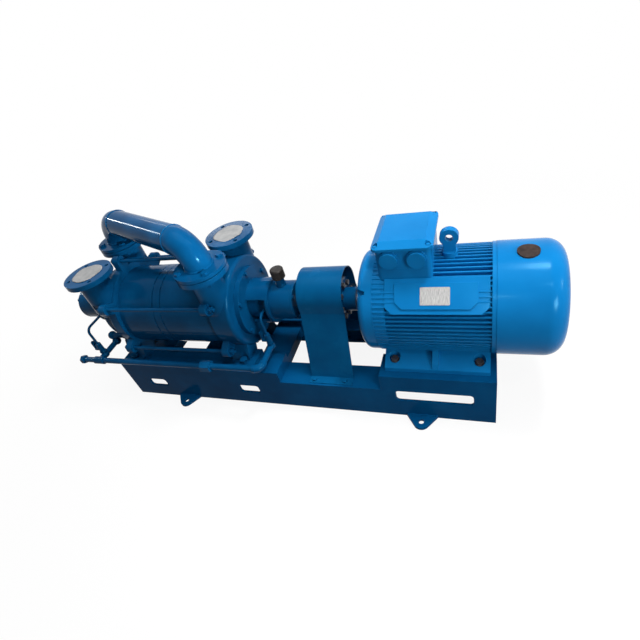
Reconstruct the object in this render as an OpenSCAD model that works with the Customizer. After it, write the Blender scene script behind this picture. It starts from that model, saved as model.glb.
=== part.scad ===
// Two-stage liquid ring vacuum pump, direct coupled to a finned motor on a welded channel base.
// The origin is the centre of the four anchor holes on the floor; +X runs from the pump to the motor.

/* [Base frame] */
// Length of the side channels
base_l = 1726; // [1680:1:1800]
// Offset of the side channels' middle from the anchor centre, towards the pump
base_shift = 17; // [0:1:40]
// Width over the side channels
base_w = 455; // [445:1:500]
// Thickness of the channel webs and flanges
rail_t = 10; // [8:1:14]
// Width of the side channels' flanges
rail_flange_w = 120; // [112:1:130]
// Width of the side channels' narrow lower lips
rail_lip_w = 45; // [30:1:60]
// Height of the seats under the pump feet
pump_seat_z = 215; // [195:1:225]
// Height of the low middle stretch under the coupling
deck_z = 157; // [135:1:175]
// Height of the seats under the motor feet
motor_seat_z = 235; // [225:1:260]
// Width of a cross channel
cross_w = 133; // [100:1:150]
// Depth of a cross channel
cross_h = 50; // [40:1:60]

/* [Web slots] */
// Length of the long slot under the motor
long_slot_l = 290; // [200:1:330]
// Height of the long slot
long_slot_h = 58; // [40:1:64]
// Length of the short slots under the pump
short_slot_l = 100; // [70:1:130]
// Height of the short slots
short_slot_h = 48; // [30:1:56]
// Height of the long slot's centre line above the floor
long_slot_z = 124; // [110:1:140]
// Height of the short slots' centre line above the floor
short_slot_z = 95; // [80:1:115]
// Corner radius of the slots
slot_r = 14; // [8:1:18]

/* [Anchors] */
// Anchor hole spacing along the base
anchor_dx = 1140; // [1000:1:1250]
// Distance of the anchor holes from the channel webs
anchor_reach = 32.5; // [28:0.5:40]
// Anchor hole diameter
anchor_d = 22; // [18:1:26]
// Width of an anchor lug at its root
lug_w = 125; // [100:1:150]
// Radius of an anchor lug round its hole
lug_r = 32; // [26:1:38]
// Thickness of an anchor lug
lug_t = 12; // [10:1:16]

/* [Motor] */
// Distance from the middle of the motor feet to the motor end of the base
motor_overhang = 211; // [200:1:225]
// Shaft height above the motor feet
motor_h = 200; // [195:1:215]
// Foot hole spacing across the shaft
foot_a = 318; // [310:1:325]
// Foot hole spacing along the shaft
foot_b = 305; // [295:1:315]
// Distance from the shaft shoulder to the first foot holes
foot_c = 133; // [129:1:137]
// Foot hole diameter
foot_hole_d = 18.5; // [17.5:0.5:20]
// Length of the feet
foot_l = 378; // [360:1:390]
// Width over the feet
foot_w = 395; // [385:1:405]
// Diameter of the shaft end
mshaft_d = 55; // [50:1:60]
// Length of the shaft end
mshaft_l = 110; // [106:1:114]
// Distance from the middle of the feet to the drive face of the frame
frame_back = 200; // [196:1:206]
// Length of the finned frame
frame_l = 405; // [398:1:415]
// Radius of the frame between its fins
frame_r = 178; // [175:1:181]
// Radius over the fins
fin_r = 196; // [192:1:198]
// Thickness of a fin
fin_t = 5; // [4:0.5:6]
// Number of fins round the frame
fin_count = 72; // [60:2:80]
// Inner radius of the frame
stator_r = 160; // [156:1:164]
// Length of the drive end shield in front of the frame
shield_l = 72; // [68:1:76]
// Radius of the fan cowl
cowl_r = 200; // [198:1:204]
// Length of the fan cowl
cowl_l = 210; // [196:1:220]
// Rounding of the cowl's rear edge
cowl_round = 62; // [44:1:70]
// Thickness of the cowl sheet
cowl_t = 3; // [2:0.5:4]

/* [Terminal box] */
// Distance from the middle of the feet to the box, towards the pump
box_back = 84; // [70:1:95]
// Length of the cover along the shaft
box_cover_l = 203; // [190:1:215]
// Width of the cover across the shaft
box_cover_w = 226; // [210:1:240]
// Overhang of the cover past the box
box_lip = 10; // [6:1:14]
// Height of the box seat above the shaft
box_seat_h = 214; // [206:1:220]
// Height of the box below its cover
box_h = 72; // [70:1:90]
// Height of the cover
box_cover_h = 26; // [20:1:32]
// Radius of a gland plug
plug_r = 30; // [24:1:32]

/* [Coupling and guard] */
// Gap between the two shaft ends
shaft_gap = 4; // [3:0.5:6]
// Length of the pump coupling half
pump_hub_l = 110; // [100:1:115]
// Length of the motor coupling half
motor_hub_l = 95; // [85:1:104]
// Radius of the coupling flanges
coupling_r = 92; // [86:1:98]
// Radius of the coupling hubs
hub_r = 48; // [42:1:52]
// Length of each coupling flange
coupling_flange_l = 40; // [34:1:46]
// Circle radius of the coupling pins
pin_circle_r = 68; // [66:1:70]
// Number of coupling pins
pin_count = 8; // [6:1:8]
// Length of the guard
guard_l = 185; // [175:1:192]
// Half of the guard's width
guard_half_w = 100; // [98:1:106]
// Height of the guard's top above the shaft
guard_rise = 140; // [134:1:146]
// Thickness of the guard sheet
guard_t = 3; // [2:0.5:4]
// Width of the guard's foot flange
guard_foot_w = 37; // [32:1:45]

/* [Pump] */
// Radius of the end covers
cover_r = 200; // [196:1:204]
// Thickness of the drive end cover
drive_cover_t = 95; // [90:1:100]
// Thickness of the rear end cover
rear_cover_t = 115; // [110:1:120]
// Distance from the rear feet's bolts to the pump end of the base
rear_overhang = 79.5; // [70:0.5:90]
// Share of the first stage in the room that the two stages fill
first_share = 0.586; // [0.55:0.002:0.62]
// Thickness of the plate between the stages
middle_t = 50; // [44:1:56]
// Thickness of a port plate
port_plate_t = 14; // [12:1:18]
// Outer radius of the cylinders
cylinder_r = 182; // [180:1:185]
// Bore radius of the cylinders
bore_r = 164; // [162:1:166]
// Drop of the cylinder centre below the shaft
eccentricity = 12; // [10:1:14]
// Radius of the impellers
impeller_r = 146; // [140:1:148]
// Number of vanes
vane_count = 14; // [12:1:16]
// Thickness of a vane
vane_t = 6; // [5:0.5:8]
// Radius of the vane curve
vane_curve_r = 110; // [95:1:130]
// Circle radius of the tie rods
rod_circle_r = 235; // [232:1:240]
// Diameter of a tie rod
rod_d = 16; // [14:1:20]
// Thickness of the tie rod ears
ear_t = 32; // [26:1:36]

/* [Ports] */
// Height of the port flange faces above the shaft
port_rise = 262; // [255:1:275]
// Sideways distance of the ports from the shaft
port_y = 128; // [122:1:134]
// Port bore diameter
port_d = 100; // [90:1:104]
// Wall of the port necks
port_wall = 16; // [12:1:18]
// Port flange diameter
flange_d = 210; // [205:1:220]
// Bolt circle of the port flanges
flange_pcd = 170; // [168:1:176]
// Bolt hole diameter of the port flanges
flange_hole_d = 18; // [16:1:19]
// Thickness of the port flanges
flange_t = 22; // [18:1:24]
// Diameter of the crossover pipe
pipe_d = 114; // [108:1:116]
// Wall of the crossover pipe
pipe_wall = 6; // [4:0.5:7]
// Bend radius of the crossover elbows
elbow_r = 97; // [88:1:130]
// Thickness of the crossover flange gaskets
gasket_t = 3; // [2:0.5:4]
// Thickness of the crossover's own flanges
crossover_flange_t = 14; // [12:1:20]

/* [Pump bearings] */
// Shaft radius inside the pump
pump_shaft_r = 35; // [33:1:37]
// Shaft radius under the drive bearing
drive_journal_r = 30; // [29:1:32]
// Shaft radius under the rear bearing
rear_journal_r = 27.5; // [26:0.5:29]
// Shaft radius in the coupling
pump_end_r = 27.5; // [26:0.5:28]
// Outer radius of the shaft sleeves
sleeve_r = 42; // [40:1:44]
// Outer radius of the packing
packing_r = 56; // [54:1:58]
// Outer radius of the drive bearing
drive_bearing_r = 65; // [62:1:67]
// Width of the drive bearing
drive_bearing_w = 31; // [29:1:35]
// Outer radius of the rear bearing
rear_bearing_r = 50; // [46:1:52]
// Width of the rear bearing
rear_bearing_w = 27; // [25:1:30]
// Radius of the drive bearing housing
drive_housing_r = 82; // [80:1:86]
// Length of the drive bearing housing
drive_housing_l = 90; // [84:1:96]
// Radius of the rear bearing housing
rear_housing_r = 80; // [76:1:84]
// Length of the rear bearing housing
rear_housing_l = 100; // [90:1:108]
// Open length of the drive bracket
drive_lantern_l = 101; // [95:1:108]
// Open length of the rear bracket
rear_lantern_l = 110; // [106:1:116]
// Height of the side windows in the brackets
window_h = 120; // [100:1:128]
// Flange radius of the drive bracket
drive_flange_r = 152; // [145:1:158]
// Flange radius of the rear bracket
rear_flange_r = 124; // [118:1:128]
// Flange thickness of the brackets
bracket_flange_t = 22; // [18:1:24]
// Thickness of the bearing covers
cap_t = 14; // [12:1:16]
// Shaft length between the drive bearing cover and the coupling
shaft_clear = 48; // [42:1:52]
// Radius of a grease cup cap
cup_r = 28; // [24:1:32]
// Height of a grease cup cap
cup_h = 42; // [38:1:50]

/* [Sealing water pipes] */
// Diameter of the header pipe
header_d = 27; // [22:1:30]
// Distance of the header from the channel webs
header_off = 27.5; // [24:0.5:36]
// Height of the header at the drive end
header_z = 272; // [262:1:280]
// Fall of the header towards the motor, in degrees
header_fall = 0; // [0:0.1:3]
// Diameter of the sealing tubes
tube_d = 12; // [10:1:14]
// Sideways distance of the rising tubes from the shaft
riser_y = 120; // [116:1:126]

/* [Hidden] */
$fn = 72;
// Running clearance of a shaft in a bearing or bush, on the radius
run_c = 0.05;
// Running clearance of a shaft shoulder beside a bearing
side_c = 0.3;
// Clearance between pieces that pass each other freely
free_c = 1;
// Clearance of a bolt in its hole, on the radius
bolt_c = 1;

// Heights
axis_z = motor_seat_z + motor_h;
seat_rise = pump_seat_z - axis_z;
port_z = axis_z + port_rise;

// Base frame
end_plate_t = rail_t;
base_x0 = -base_l / 2 - base_shift;
base_x1 = base_l / 2 - base_shift;
anchor_dy = base_w + 2 * anchor_reach;

// Places along the shaft, from the motor back to the rear bearing
motor_x = base_x1 - motor_overhang;
shoulder_x = motor_x - foot_b / 2 - foot_c;
mshaft_x = shoulder_x - mshaft_l;
pshaft_x = mshaft_x - shaft_gap;
frame_x0 = motor_x - frame_back;
frame_x1 = frame_x0 + frame_l;
shield_x0 = frame_x0 - shield_l;
cowl_x1 = frame_x1 + cowl_l;
drive_cap_x1 = pshaft_x - pump_hub_l - shaft_clear;
drive_housing_x1 = drive_cap_x1 - cap_t;
drive_housing_x0 = drive_housing_x1 - drive_housing_l;
drive_flange_x1 = drive_housing_x0 - drive_lantern_l;
drive_cover_x1 = drive_flange_x1 - bracket_flange_t;
drive_cover_x0 = drive_cover_x1 - drive_cover_t;
rear_bolt_x = base_x0 + rear_overhang;
rear_cover_x1 = rear_bolt_x + 60;
first_x1 = drive_cover_x0 - port_plate_t;
second_x0 = rear_cover_x1 + port_plate_t;
stage_room = first_x1 - second_x0 - middle_t;
first_x0 = first_x1 - stage_room * first_share;
second_x1 = first_x0 - middle_t;
rear_cover_x0 = rear_cover_x1 - rear_cover_t;
rear_flange_x0 = rear_cover_x0 - bracket_flange_t;
rear_housing_x1 = rear_flange_x0 - rear_lantern_l;
rear_housing_x0 = rear_housing_x1 - rear_housing_l;

// Steps, slots and cross channels of the base
motor_step_x = motor_x - foot_l / 2 - 23;
pump_step_x = drive_housing_x0 + 8;
rail_in_y = base_w / 2 - rail_flange_w;
long_slot_x = motor_x - 12;
rear_slot_x = rear_cover_x1 + 25;
drive_slot_x = drive_cover_x1 - 46;
cross_c = 3;
cross_first_x = pump_step_x - rail_t - cross_w;
cross_last_x = rear_cover_x1 - 76;
cross_xs = [for (i = [0:2]) cross_first_x + (cross_last_x - cross_first_x) * i / 2];
motor_cross_xs = [motor_step_x + rail_t, base_x1 - end_plate_t - cross_w];

// Pump feet and ports
foot_plate_t = 26;
foot_out_y = base_w / 2 - 9.5;
foot_in_y = rail_in_y + 4;
pump_bolt_y = foot_out_y - 28;
pump_bolt_d = 20;
drive_bolt_x = drive_cover_x0 + 64;
drive_port_x = drive_cover_x0 + 24;
rear_port_x = rear_cover_x1 - 75;
neck_r = port_d / 2 + port_wall;
passage_r = 36;
passage_y = port_y - 30;
passage_z = 92;
pocket_z = axis_z + passage_z;
ear_r = rod_d / 2 + 17;
rod_nut_h = rod_d;
rod_nut_af = 1.65 * rod_d;
rod_nut_c = 1.5;
rod_x0 = rear_cover_x1 - ear_t;
rod_x1 = drive_cover_x0 + ear_t;
rod_angles = [for (i = [0:5]) 60 * i];
feed_boss_r = 20;
feed_boss_h = 6;
feed_z = axis_z - 123;

// Crossover pipe
crossover_z0 = port_z + gasket_t;
crossover_dx = rear_port_x - drive_port_x;
crossover_dy = 2 * port_y;
crossover_span = sqrt(crossover_dx * crossover_dx + crossover_dy * crossover_dy);
crossover_turn = atan2(crossover_dy, crossover_dx);
flange_bolt_d = flange_hole_d - 2;

// Glands and bearings
packing_w = packing_r - sleeve_r - run_c;
packing_rings = 4;
box_depth = packing_rings * packing_w + 8;
gland_t = 14;
gland_stud_z = packing_r + 10;
gland_stud_d = 10;
gland_ear_r = 14;
gland_rim_r = packing_r + 5;
lantern_r = gland_stud_z + gland_ear_r + 4;
lantern_wall = 14;
box_boss_l = 60;
box_boss_r = gland_stud_z + 10;
drive_box_x = drive_cover_x1 + box_boss_l;
rear_box_x = rear_cover_x0 - box_boss_l;
drive_nose_x = drive_box_x - box_depth + packing_rings * packing_w;
rear_nose_x = rear_box_x + box_depth - 1 - packing_rings * packing_w;
drive_gland_x = drive_box_x + 18;
rear_gland_x = rear_box_x - 30;
drive_bearing_x = drive_housing_x0 + drive_housing_l / 2;
rear_bearing_x = rear_housing_x0 + rear_housing_l / 2;
cup_stem_r = 18;
cup_seat_h = 30;
cup_gap = 0.4;
shaft_tail = 6;
cup_boss_h = 6;
drive_cup_z = axis_z + drive_housing_r + cup_boss_h;
rear_cup_z = axis_z + rear_housing_r + cup_boss_h;
impeller_hub_r = 62;
bracket_bolts = 6;
bracket_bolt_d = 12;
bracket_bolt_in = 13;
cap_bolt_d = 10;
cap_bolt_in = 9;

// Sealing water pipes
header_y = base_w / 2 + header_off;
header_r = header_d / 2;
fitting_r = header_r + 5;
drive_branch_x = drive_gland_x + gland_t / 2;
rear_branch_x = rear_gland_x - gland_t / 2;
branch_run = header_y - riser_y;
header_rise = (drive_branch_x - rear_branch_x) * tan(header_fall);
rear_header_z = header_z + header_rise;
header_len = (drive_branch_x - rear_branch_x) / cos(header_fall);
tube_bend = 28;
cock_r = 13;
cock_rise = 40;
cock_l = 44;
cock_stem_r = 6;
cock_neck = 10;
handle_c = 0.5;
header_bend = 26;
header_tail = 96;
elbow_ball_r = header_r * sqrt(2) + 2;
feed_run = rear_cover_x0 - feed_boss_h - rear_branch_x;
rear_riser_y = header_y - 42;
handle_t = 6;
handle_l = 38;

// Coupling and guard
pin_r = 9;
bush_r = 17;
bush_c = 0.3;
guard_x0 = mshaft_x - 124.5;
guard_bolt_d = 12;
guard_foot_y = base_w / 2 - 9.5;
guard_leg_y = guard_foot_y - guard_foot_w;
guard_bend_z = axis_z + 5;
guard_bolt_y = guard_foot_y - 18;

// Terminal box, cowl and lifting eye
box_z = axis_z + box_seat_h;
box_cover_z = box_z + box_h;
box_wall = 8;
plug_hole_r = 34;
plug_x = frame_x1 + 92;
eye_x = motor_x + 57;
eye_seat = 4;
shield_bolt_d = 12;
shield_boss_l = 26;

// Motor inside
mrotor_r = 104;
stator_bore_r = 105.5;
core_l = 210;
core_x0 = motor_x - core_l / 2;
mbearing_r = 70;
mbearing_w = 33;
mjournal_r = 32.5;
mbearing_x = shield_x0 + 8;
rear_mbearing_x = frame_x1 - 12;
fan_x = frame_x1 + 74;
pad_tilt = 41;
pad_h = 122;
pad_l = 340;
pad_x = motor_x + 15;
pad_chamfer = 24;

// Places children on the shaft at x, with their z along the shaft and their y upwards
module on_axis(x) translate([x, 0, axis_z]) rotate([90, 0, 90]) children();

// Round bar or ring on the shaft axis
module axis_ring(x0, x1, outer, inner = 0) {
  on_axis(x0) difference() {
    cylinder(h = x1 - x0, r = outer);
    if (inner > 0) translate([0, 0, -1]) cylinder(h = x1 - x0 + 2, r = inner);
  }
}

// Half profile of a can with one rounded rim, radius along x and length along y
module can_profile(r, l, c) {
  square([r - c, l]);
  square([r, l - c]);
  translate([r - c, l - c]) intersection() {
    circle(r = c);
    square([c, c]);
  }
}

// Rectangle with round corners, centred
module round_rect(l, w, r) {
  square([l - 2 * r, w], center = true);
  square([l, w - 2 * r], center = true);
  for (sx = [-1, 1], sy = [-1, 1])
    translate([sx * (l / 2 - r), sy * (w / 2 - r)]) circle(r = r);
}

// Hexagon prism by its width across the flats
module hex(flats, h) cylinder(h = h, r = flats / sqrt(3), $fn = 6);

// Bolt standing on z = 0 with its shank and nut below
module through_bolt(d, grip) {
  hex(1.6 * d, 0.65 * d);
  translate([0, 0, -grip - 1.1 * d]) cylinder(h = grip + 1.1 * d, d = d);
  translate([0, 0, -grip - 0.8 * d]) hex(1.6 * d, 0.8 * d);
}

// Both sides of the shaft plane
module both_sides() {
  children();
  mirror([0, 1, 0]) children();
}

// Outline of one side channel's web, seen from the side
module rail_outline() {
  polygon([[base_x0, 0], [base_x1, 0], [base_x1, motor_seat_z], [motor_step_x, motor_seat_z],
    [motor_step_x, deck_z], [pump_step_x, deck_z], [pump_step_x, pump_seat_z],
    [base_x0, pump_seat_z]]);
}

// Web, flanges and step plates of the channel on the far side
module side_channel() {
  flats = [[base_x0, pump_step_x, pump_seat_z], [pump_step_x, motor_step_x, deck_z],
    [motor_step_x, base_x1, motor_seat_z]];
  steps = [[pump_step_x - rail_t, deck_z, pump_seat_z], [motor_step_x, deck_z, motor_seat_z]];
  difference() {
    union() {
      translate([0, base_w / 2, 0]) rotate([90, 0, 0]) linear_extrude(rail_t) difference() {
        rail_outline();
        translate([long_slot_x, long_slot_z]) round_rect(long_slot_l, long_slot_h, slot_r);
        for (x = [rear_slot_x, drive_slot_x])
          translate([x, short_slot_z]) round_rect(short_slot_l, short_slot_h, slot_r);
      }
      for (f = flats) translate([f[0], rail_in_y, f[2] - rail_t])
        cube([f[1] - f[0], rail_flange_w, rail_t]);
      translate([base_x0, base_w / 2 - rail_lip_w, 0]) cube([base_l, rail_lip_w, rail_t]);
      for (s = steps) translate([s[0], rail_in_y, s[1] - rail_t])
        cube([rail_t, rail_flange_w, s[2] - s[1] + rail_t]);
    }
    motor_bolt_places(motor_seat_z - 2 * rail_t) cylinder(h = 3 * rail_t, d = foot_hole_d);
    for (x = [drive_bolt_x, rear_bolt_x]) translate([x, pump_bolt_y, pump_seat_z - 2 * rail_t])
      cylinder(h = 3 * rail_t, r = pump_bolt_d / 2 + bolt_c);
    guard_bolt_places(deck_z - 2 * rail_t) cylinder(h = 3 * rail_t, r = guard_bolt_d / 2 + bolt_c);
  }
}

module near_side_channel() color("midnightblue") mirror([0, 1, 0]) side_channel();
module far_side_channel() color("midnightblue") side_channel();

// Channels laid web up between the side channels
module cross_channels() {
  color("midnightblue") {
    for (x = cross_xs) cross_channel(x, short_slot_z + short_slot_h / 2 + cross_c);
    difference() {
      for (x = motor_cross_xs) cross_channel(x, motor_seat_z - rail_t - cross_h);
      both_sides() motor_bolt_places(motor_seat_z - 3 * rail_t) cylinder(h = 3 * rail_t, d = foot_hole_d);
    }
  }
}

// Two foot bolts of the motor on one side, at height z
module motor_bolt_places(z) {
  for (sx = [-1, 1]) translate([motor_x + sx * foot_b / 2, foot_a / 2, z]) children();
}

// One cross channel with its legs standing from height z
module cross_channel(x, z) {
  translate([x, base_w / 2 - rail_t, z]) rotate([90, 0, 0])
    linear_extrude(base_w - 2 * rail_t) difference() {
      square([cross_w, cross_h]);
      translate([rail_t, -1]) square([cross_w - 2 * rail_t, cross_h - rail_t + 1]);
    }
}

// Plates that close the two ends of the frame between the flanges
module end_plates() {
  ends = [[base_x0, pump_seat_z], [base_x1 - end_plate_t, motor_seat_z]];
  color("midnightblue") for (e = ends) translate([e[0], rail_t - base_w / 2, rail_t])
    cube([end_plate_t, base_w - 2 * rail_t, e[1] - 2 * rail_t]);
}

module anchor_lugs() {
  root_y = base_w / 2;
  color("midnightblue") both_sides() for (sx = [-1, 1])
    translate([sx * anchor_dx / 2, 0, 0]) linear_extrude(lug_t) difference() {
      union() {
        translate([0, anchor_dy / 2]) circle(r = lug_r);
        polygon([[-lug_w / 2, root_y], [lug_w / 2, root_y], [lug_r * 0.8, anchor_dy / 2 + lug_r * 0.6],
          [-lug_r * 0.8, anchor_dy / 2 + lug_r * 0.6]]);
      }
      translate([0, anchor_dy / 2]) circle(d = anchor_d);
      translate([-lug_w, root_y - 2 * lug_w]) square([2 * lug_w, 2 * lug_w]);
    }
}

// One motor foot on the far side, as a profile across the shaft
module foot_profile() {
  out = foot_w / 2;
  polygon([[out, -motor_h], [out, 18 - motor_h], [out - 70, 60 - motor_h],
    [out - 86, 80 - motor_h], [out - 104, 80 - motor_h], [out - 104, -motor_h]]);
}

module motor_frame() {
  color("dodgerblue") difference() {
    union() {
      on_axis(frame_x0) linear_extrude(frame_l) {
        circle(r = frame_r);
        for (i = [0:fin_count - 1]) rotate(360 * i / fin_count)
          translate([0, -fin_t / 2]) square([fin_r, fin_t]);
      }
      axis_ring(frame_x0, frame_x0 + 44, fin_r - 3);
      axis_ring(frame_x1 - 14, frame_x1, cowl_r - cowl_t / 2);
      both_sides() {
        on_axis(motor_x - foot_l / 2) linear_extrude(foot_l) foot_profile();
        on_axis(motor_x - 11) linear_extrude(22) polygon([[foot_w / 2, 18 - motor_h],
          [foot_w / 2 - 8, 40 - motor_h], [frame_r * 0.72, -frame_r * 0.6], [frame_r * 0.5, -frame_r * 0.7],
          [foot_w / 2 - 104, 20 - motor_h]]);
      }
      name_pad(pad_l, pad_h, fin_r - 2, pad_chamfer);
      name_pad(pad_l - 70, pad_h - 34, fin_r + 2, pad_chamfer);
      translate([motor_x - box_back, 0, axis_z + frame_r - 40])
        linear_extrude(box_seat_h - frame_r + 40)
          round_rect(box_cover_l - 2 * box_lip, box_cover_w - 2 * box_lip, 16);
      translate([eye_x, 0, axis_z + frame_r - 10]) cylinder(h = fin_r - frame_r + 10 + eye_seat, r = 26);
      shield_bolt_places(frame_x0) cylinder(h = 30, r = 15);
    }
    shield_bolt_places(frame_x0 - 1) cylinder(h = 21, d = shield_bolt_d);
    on_axis(frame_x0 - 1) cylinder(h = frame_l + 2, r = stator_r);
    both_sides() motor_bolt_places(motor_seat_z) {
      translate([0, 0, -1]) cylinder(h = 60, d = foot_hole_d);
      translate([0, 0, 24]) cylinder(h = 60, r = 21);
    }
  }
}

// Flat pad on the near upper flank of the frame, with cut lower corners
module name_pad(l, h, r, c) {
  translate([pad_x, 0, axis_z]) rotate([-pad_tilt, 0, 0]) translate([0, -frame_r * 0.9, 0])
    rotate([90, 0, 0]) linear_extrude(r - frame_r * 0.9)
      polygon([[-l / 2 + c, -h / 2], [l / 2 - c, -h / 2], [l / 2, -h / 2 + c], [l / 2, h / 2],
        [-l / 2, h / 2], [-l / 2, -h / 2 + c]]);
}

module drive_shield() {
  color("dodgerblue") difference() {
    union() {
      on_axis(frame_x0) mirror([0, 0, 1]) rotate_extrude() can_profile(fin_r - 2, shield_l - 14, 28);
      on_axis(frame_x0) mirror([0, 0, 1]) rotate_extrude() can_profile(mbearing_r + 28, shield_l, 8);
    }
    shield_bolt_places(frame_x0 - shield_boss_l - 1) cylinder(h = 2 * shield_boss_l, d = shield_bolt_d);
    shield_bolt_places(frame_x0 - shield_boss_l) mirror([0, 0, 1]) cylinder(h = shield_l, r = 15);
    on_axis(frame_x0 + 1) mirror([0, 0, 1]) cylinder(h = shield_l - 30, r = stator_r - 6);
    on_axis(mbearing_x) cylinder(h = shield_l, r = mbearing_r);
    on_axis(shield_x0 - 1) cylinder(h = shield_l, r = mjournal_r + 4);
  }
}

// The four bolts that hold the drive shield to the frame
module shield_bolt_places(x) {
  on_axis(x) for (a = [45:90:315]) rotate(a) translate([fin_r - 16, 0, 0]) children();
}

module rear_shield() {
  color("dodgerblue") difference() {
    union() {
      axis_ring(frame_x1, frame_x1 + 16, stator_r + 12);
      axis_ring(frame_x1 + 15, frame_x1 + 40, mbearing_r + 18);
    }
    on_axis(frame_x1 - 1) cylinder(h = mbearing_w - 11, r = mbearing_r);
    on_axis(frame_x1 - 2) cylinder(h = 60, r = mjournal_r - 6);
  }
}

module fan_cowl() {
  color("dodgerblue") difference() {
    on_axis(frame_x1) rotate_extrude() can_profile(cowl_r, cowl_l, cowl_round);
    on_axis(frame_x1 - 1) rotate_extrude()
      can_profile(cowl_r - cowl_t, cowl_l - cowl_t + 1, cowl_round - cowl_t);
    for (ring = [[36, 12, 52], [96, 24, 44]]) for (i = [0:ring[1] - 1])
      on_axis(cowl_x1 - 2 * cowl_t) rotate(360 * i / ring[1]) translate([ring[0], -5, 0])
        cube([ring[2], 10, 3 * cowl_t]);
    plug_hole(plug_hole_r);
  }
}

// Round opening on the cowl's upper near flank
module plug_hole(r) {
  translate([plug_x, 0, axis_z]) rotate([4, 0, 0]) translate([0, 0, cowl_r - 14])
    cylinder(h = 30, r = r);
}

module cowl_plug() {
  color("saddlebrown") intersection() {
    plug_hole(plug_hole_r);
    on_axis(frame_x1) rotate_extrude() difference() {
      square([cowl_r + 5, cowl_l]);
      translate([0, -1]) square([cowl_r - cowl_t - 1, cowl_l + 2]);
    }
  }
}

module terminal_box() {
  l = box_cover_l - 2 * box_lip;
  w = box_cover_w - 2 * box_lip;
  color("dodgerblue") translate([motor_x - box_back, 0, box_z]) difference() {
    union() {
      linear_extrude(box_h) round_rect(l, w, 16);
      for (sx = [-1, 1]) translate([sx * l / 4, -w / 2 + box_wall, plug_r + 5]) rotate([90, 0, 0])
        cylinder(h = box_wall + 6, r = plug_r + 4);
    }
    translate([0, 0, box_wall]) linear_extrude(box_h) round_rect(l - 2 * box_wall, w - 2 * box_wall, 10);
    for (sx = [-1, 1]) translate([sx * l / 4, -w / 2 + box_wall + 1, plug_r + 5]) rotate([90, 0, 0])
      cylinder(h = box_wall + 20, r = plug_r - 10);
  }
}

module gland_plugs() {
  l = box_cover_l - 2 * box_lip;
  w = box_cover_w - 2 * box_lip;
  color("dodgerblue") for (sx = [-1, 1])
    translate([motor_x - box_back + sx * l / 4, -w / 2 - 6, box_z + plug_r + 5]) rotate([90, 0, 0]) {
      translate([0, 0, -box_wall - 6]) cylinder(h = box_wall + 7, r = plug_r - 10);
      cylinder(h = 9, r = plug_r);
    }
}

module terminal_cover() {
  color("dodgerblue") translate([motor_x - box_back, 0, box_cover_z]) difference() {
    intersection() {
      linear_extrude(box_cover_h) round_rect(box_cover_l, box_cover_w, 20);
      translate([0, box_cover_w, 0]) rotate([90, 0, 0]) linear_extrude(2 * box_cover_w)
        bevel_profile(box_cover_l);
      translate([-box_cover_l, 0, 0]) rotate([90, 0, 90]) linear_extrude(2 * box_cover_l)
        bevel_profile(box_cover_w);
    }
    cover_screw_places() translate([0, 0, -1]) cylinder(h = 60, r = 4 + bolt_c / 2);
    cover_screw_places() translate([0, 0, 9]) cylinder(h = 60, r = 9);
  }
}

// Cross-section of the cover with a rim and two bevels
module bevel_profile(w) {
  polygon([[-w / 2, 0], [w / 2, 0], [w / 2, 9], [w / 2 - 26, box_cover_h], [26 - w / 2, box_cover_h],
    [-w / 2, 9]]);
}

module cover_screw_places() {
  for (sx = [-1, 1], sy = [-1, 1])
    translate([sx * (box_cover_l / 2 - 16), sy * (box_cover_w / 2 - 16), 0]) children();
}

module terminal_screws() {
  color("silver") translate([motor_x - box_back, 0, box_cover_z + 9]) cover_screw_places() {
    hex(13, 5);
    translate([0, 0, -9]) cylinder(h = 9, r = 4);
  }
}

module lifting_eye() {
  z0 = axis_z + fin_r + eye_seat;
  color("dodgerblue") translate([eye_x, 0, z0]) difference() {
    union() {
      cylinder(h = 10, r = 26);
      translate([0, 12, 0]) rotate([90, 0, 0]) linear_extrude(24) {
        translate([-20, 0]) square([40, 50]);
        translate([0, 62]) circle(r = 31);
      }
    }
    translate([0, 30, 62]) rotate([90, 0, 0]) cylinder(h = 60, r = 13);
  }
}

module stator_core() {
  color("dimgray") {
    axis_ring(core_x0, core_x0 + core_l, stator_r, stator_bore_r);
    for (x = [core_x0 - 45, core_x0 + core_l]) axis_ring(x, x + 45, stator_r - 16, stator_bore_r + 8);
  }
}

// Rolling bearing with its two rings standing proud of the shielded gap
module bearing(x0, w, outer, inner) {
  mid = (outer + inner) / 2;
  gap = (outer - inner) / 5;
  on_axis(x0) rotate_extrude() difference() {
    translate([inner + run_c, 0]) square([outer - inner - run_c, w]);
    for (y = [-1, w - 1.5]) translate([mid - gap, y]) square([2 * gap, 2.5]);
  }
}

module motor_bearings() {
  color("silver") {
    bearing(mbearing_x, mbearing_w, mbearing_r, mjournal_r);
    bearing(rear_mbearing_x, mbearing_w, mbearing_r, mjournal_r);
  }
}

module motor_foot_bolts() {
  color("black") both_sides() motor_bolt_places(motor_seat_z + 24) {
    translate([0, 0, 3]) through_bolt(16, 24 + 3 + 2 * rail_t);
    cylinder(h = 3, r = 16);
  }
}

module motor_shaft() {
  color("silver") {
    axis_ring(mshaft_x, shoulder_x, mshaft_d / 2);
    axis_ring(shoulder_x, rear_mbearing_x + mbearing_w - 1, mjournal_r);
    axis_ring(mbearing_x + mbearing_w + side_c, rear_mbearing_x - side_c, mjournal_r + 8);
    axis_ring(shoulder_x, fan_x + 50, mjournal_r - 7);
  }
}

module rotor_core() {
  color("gray") {
    axis_ring(core_x0, core_x0 + core_l, mrotor_r, mjournal_r + 8);
    for (x = [core_x0 - 12, core_x0 + core_l]) axis_ring(x, x + 12, mrotor_r - 4, mrotor_r - 26);
  }
}

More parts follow.
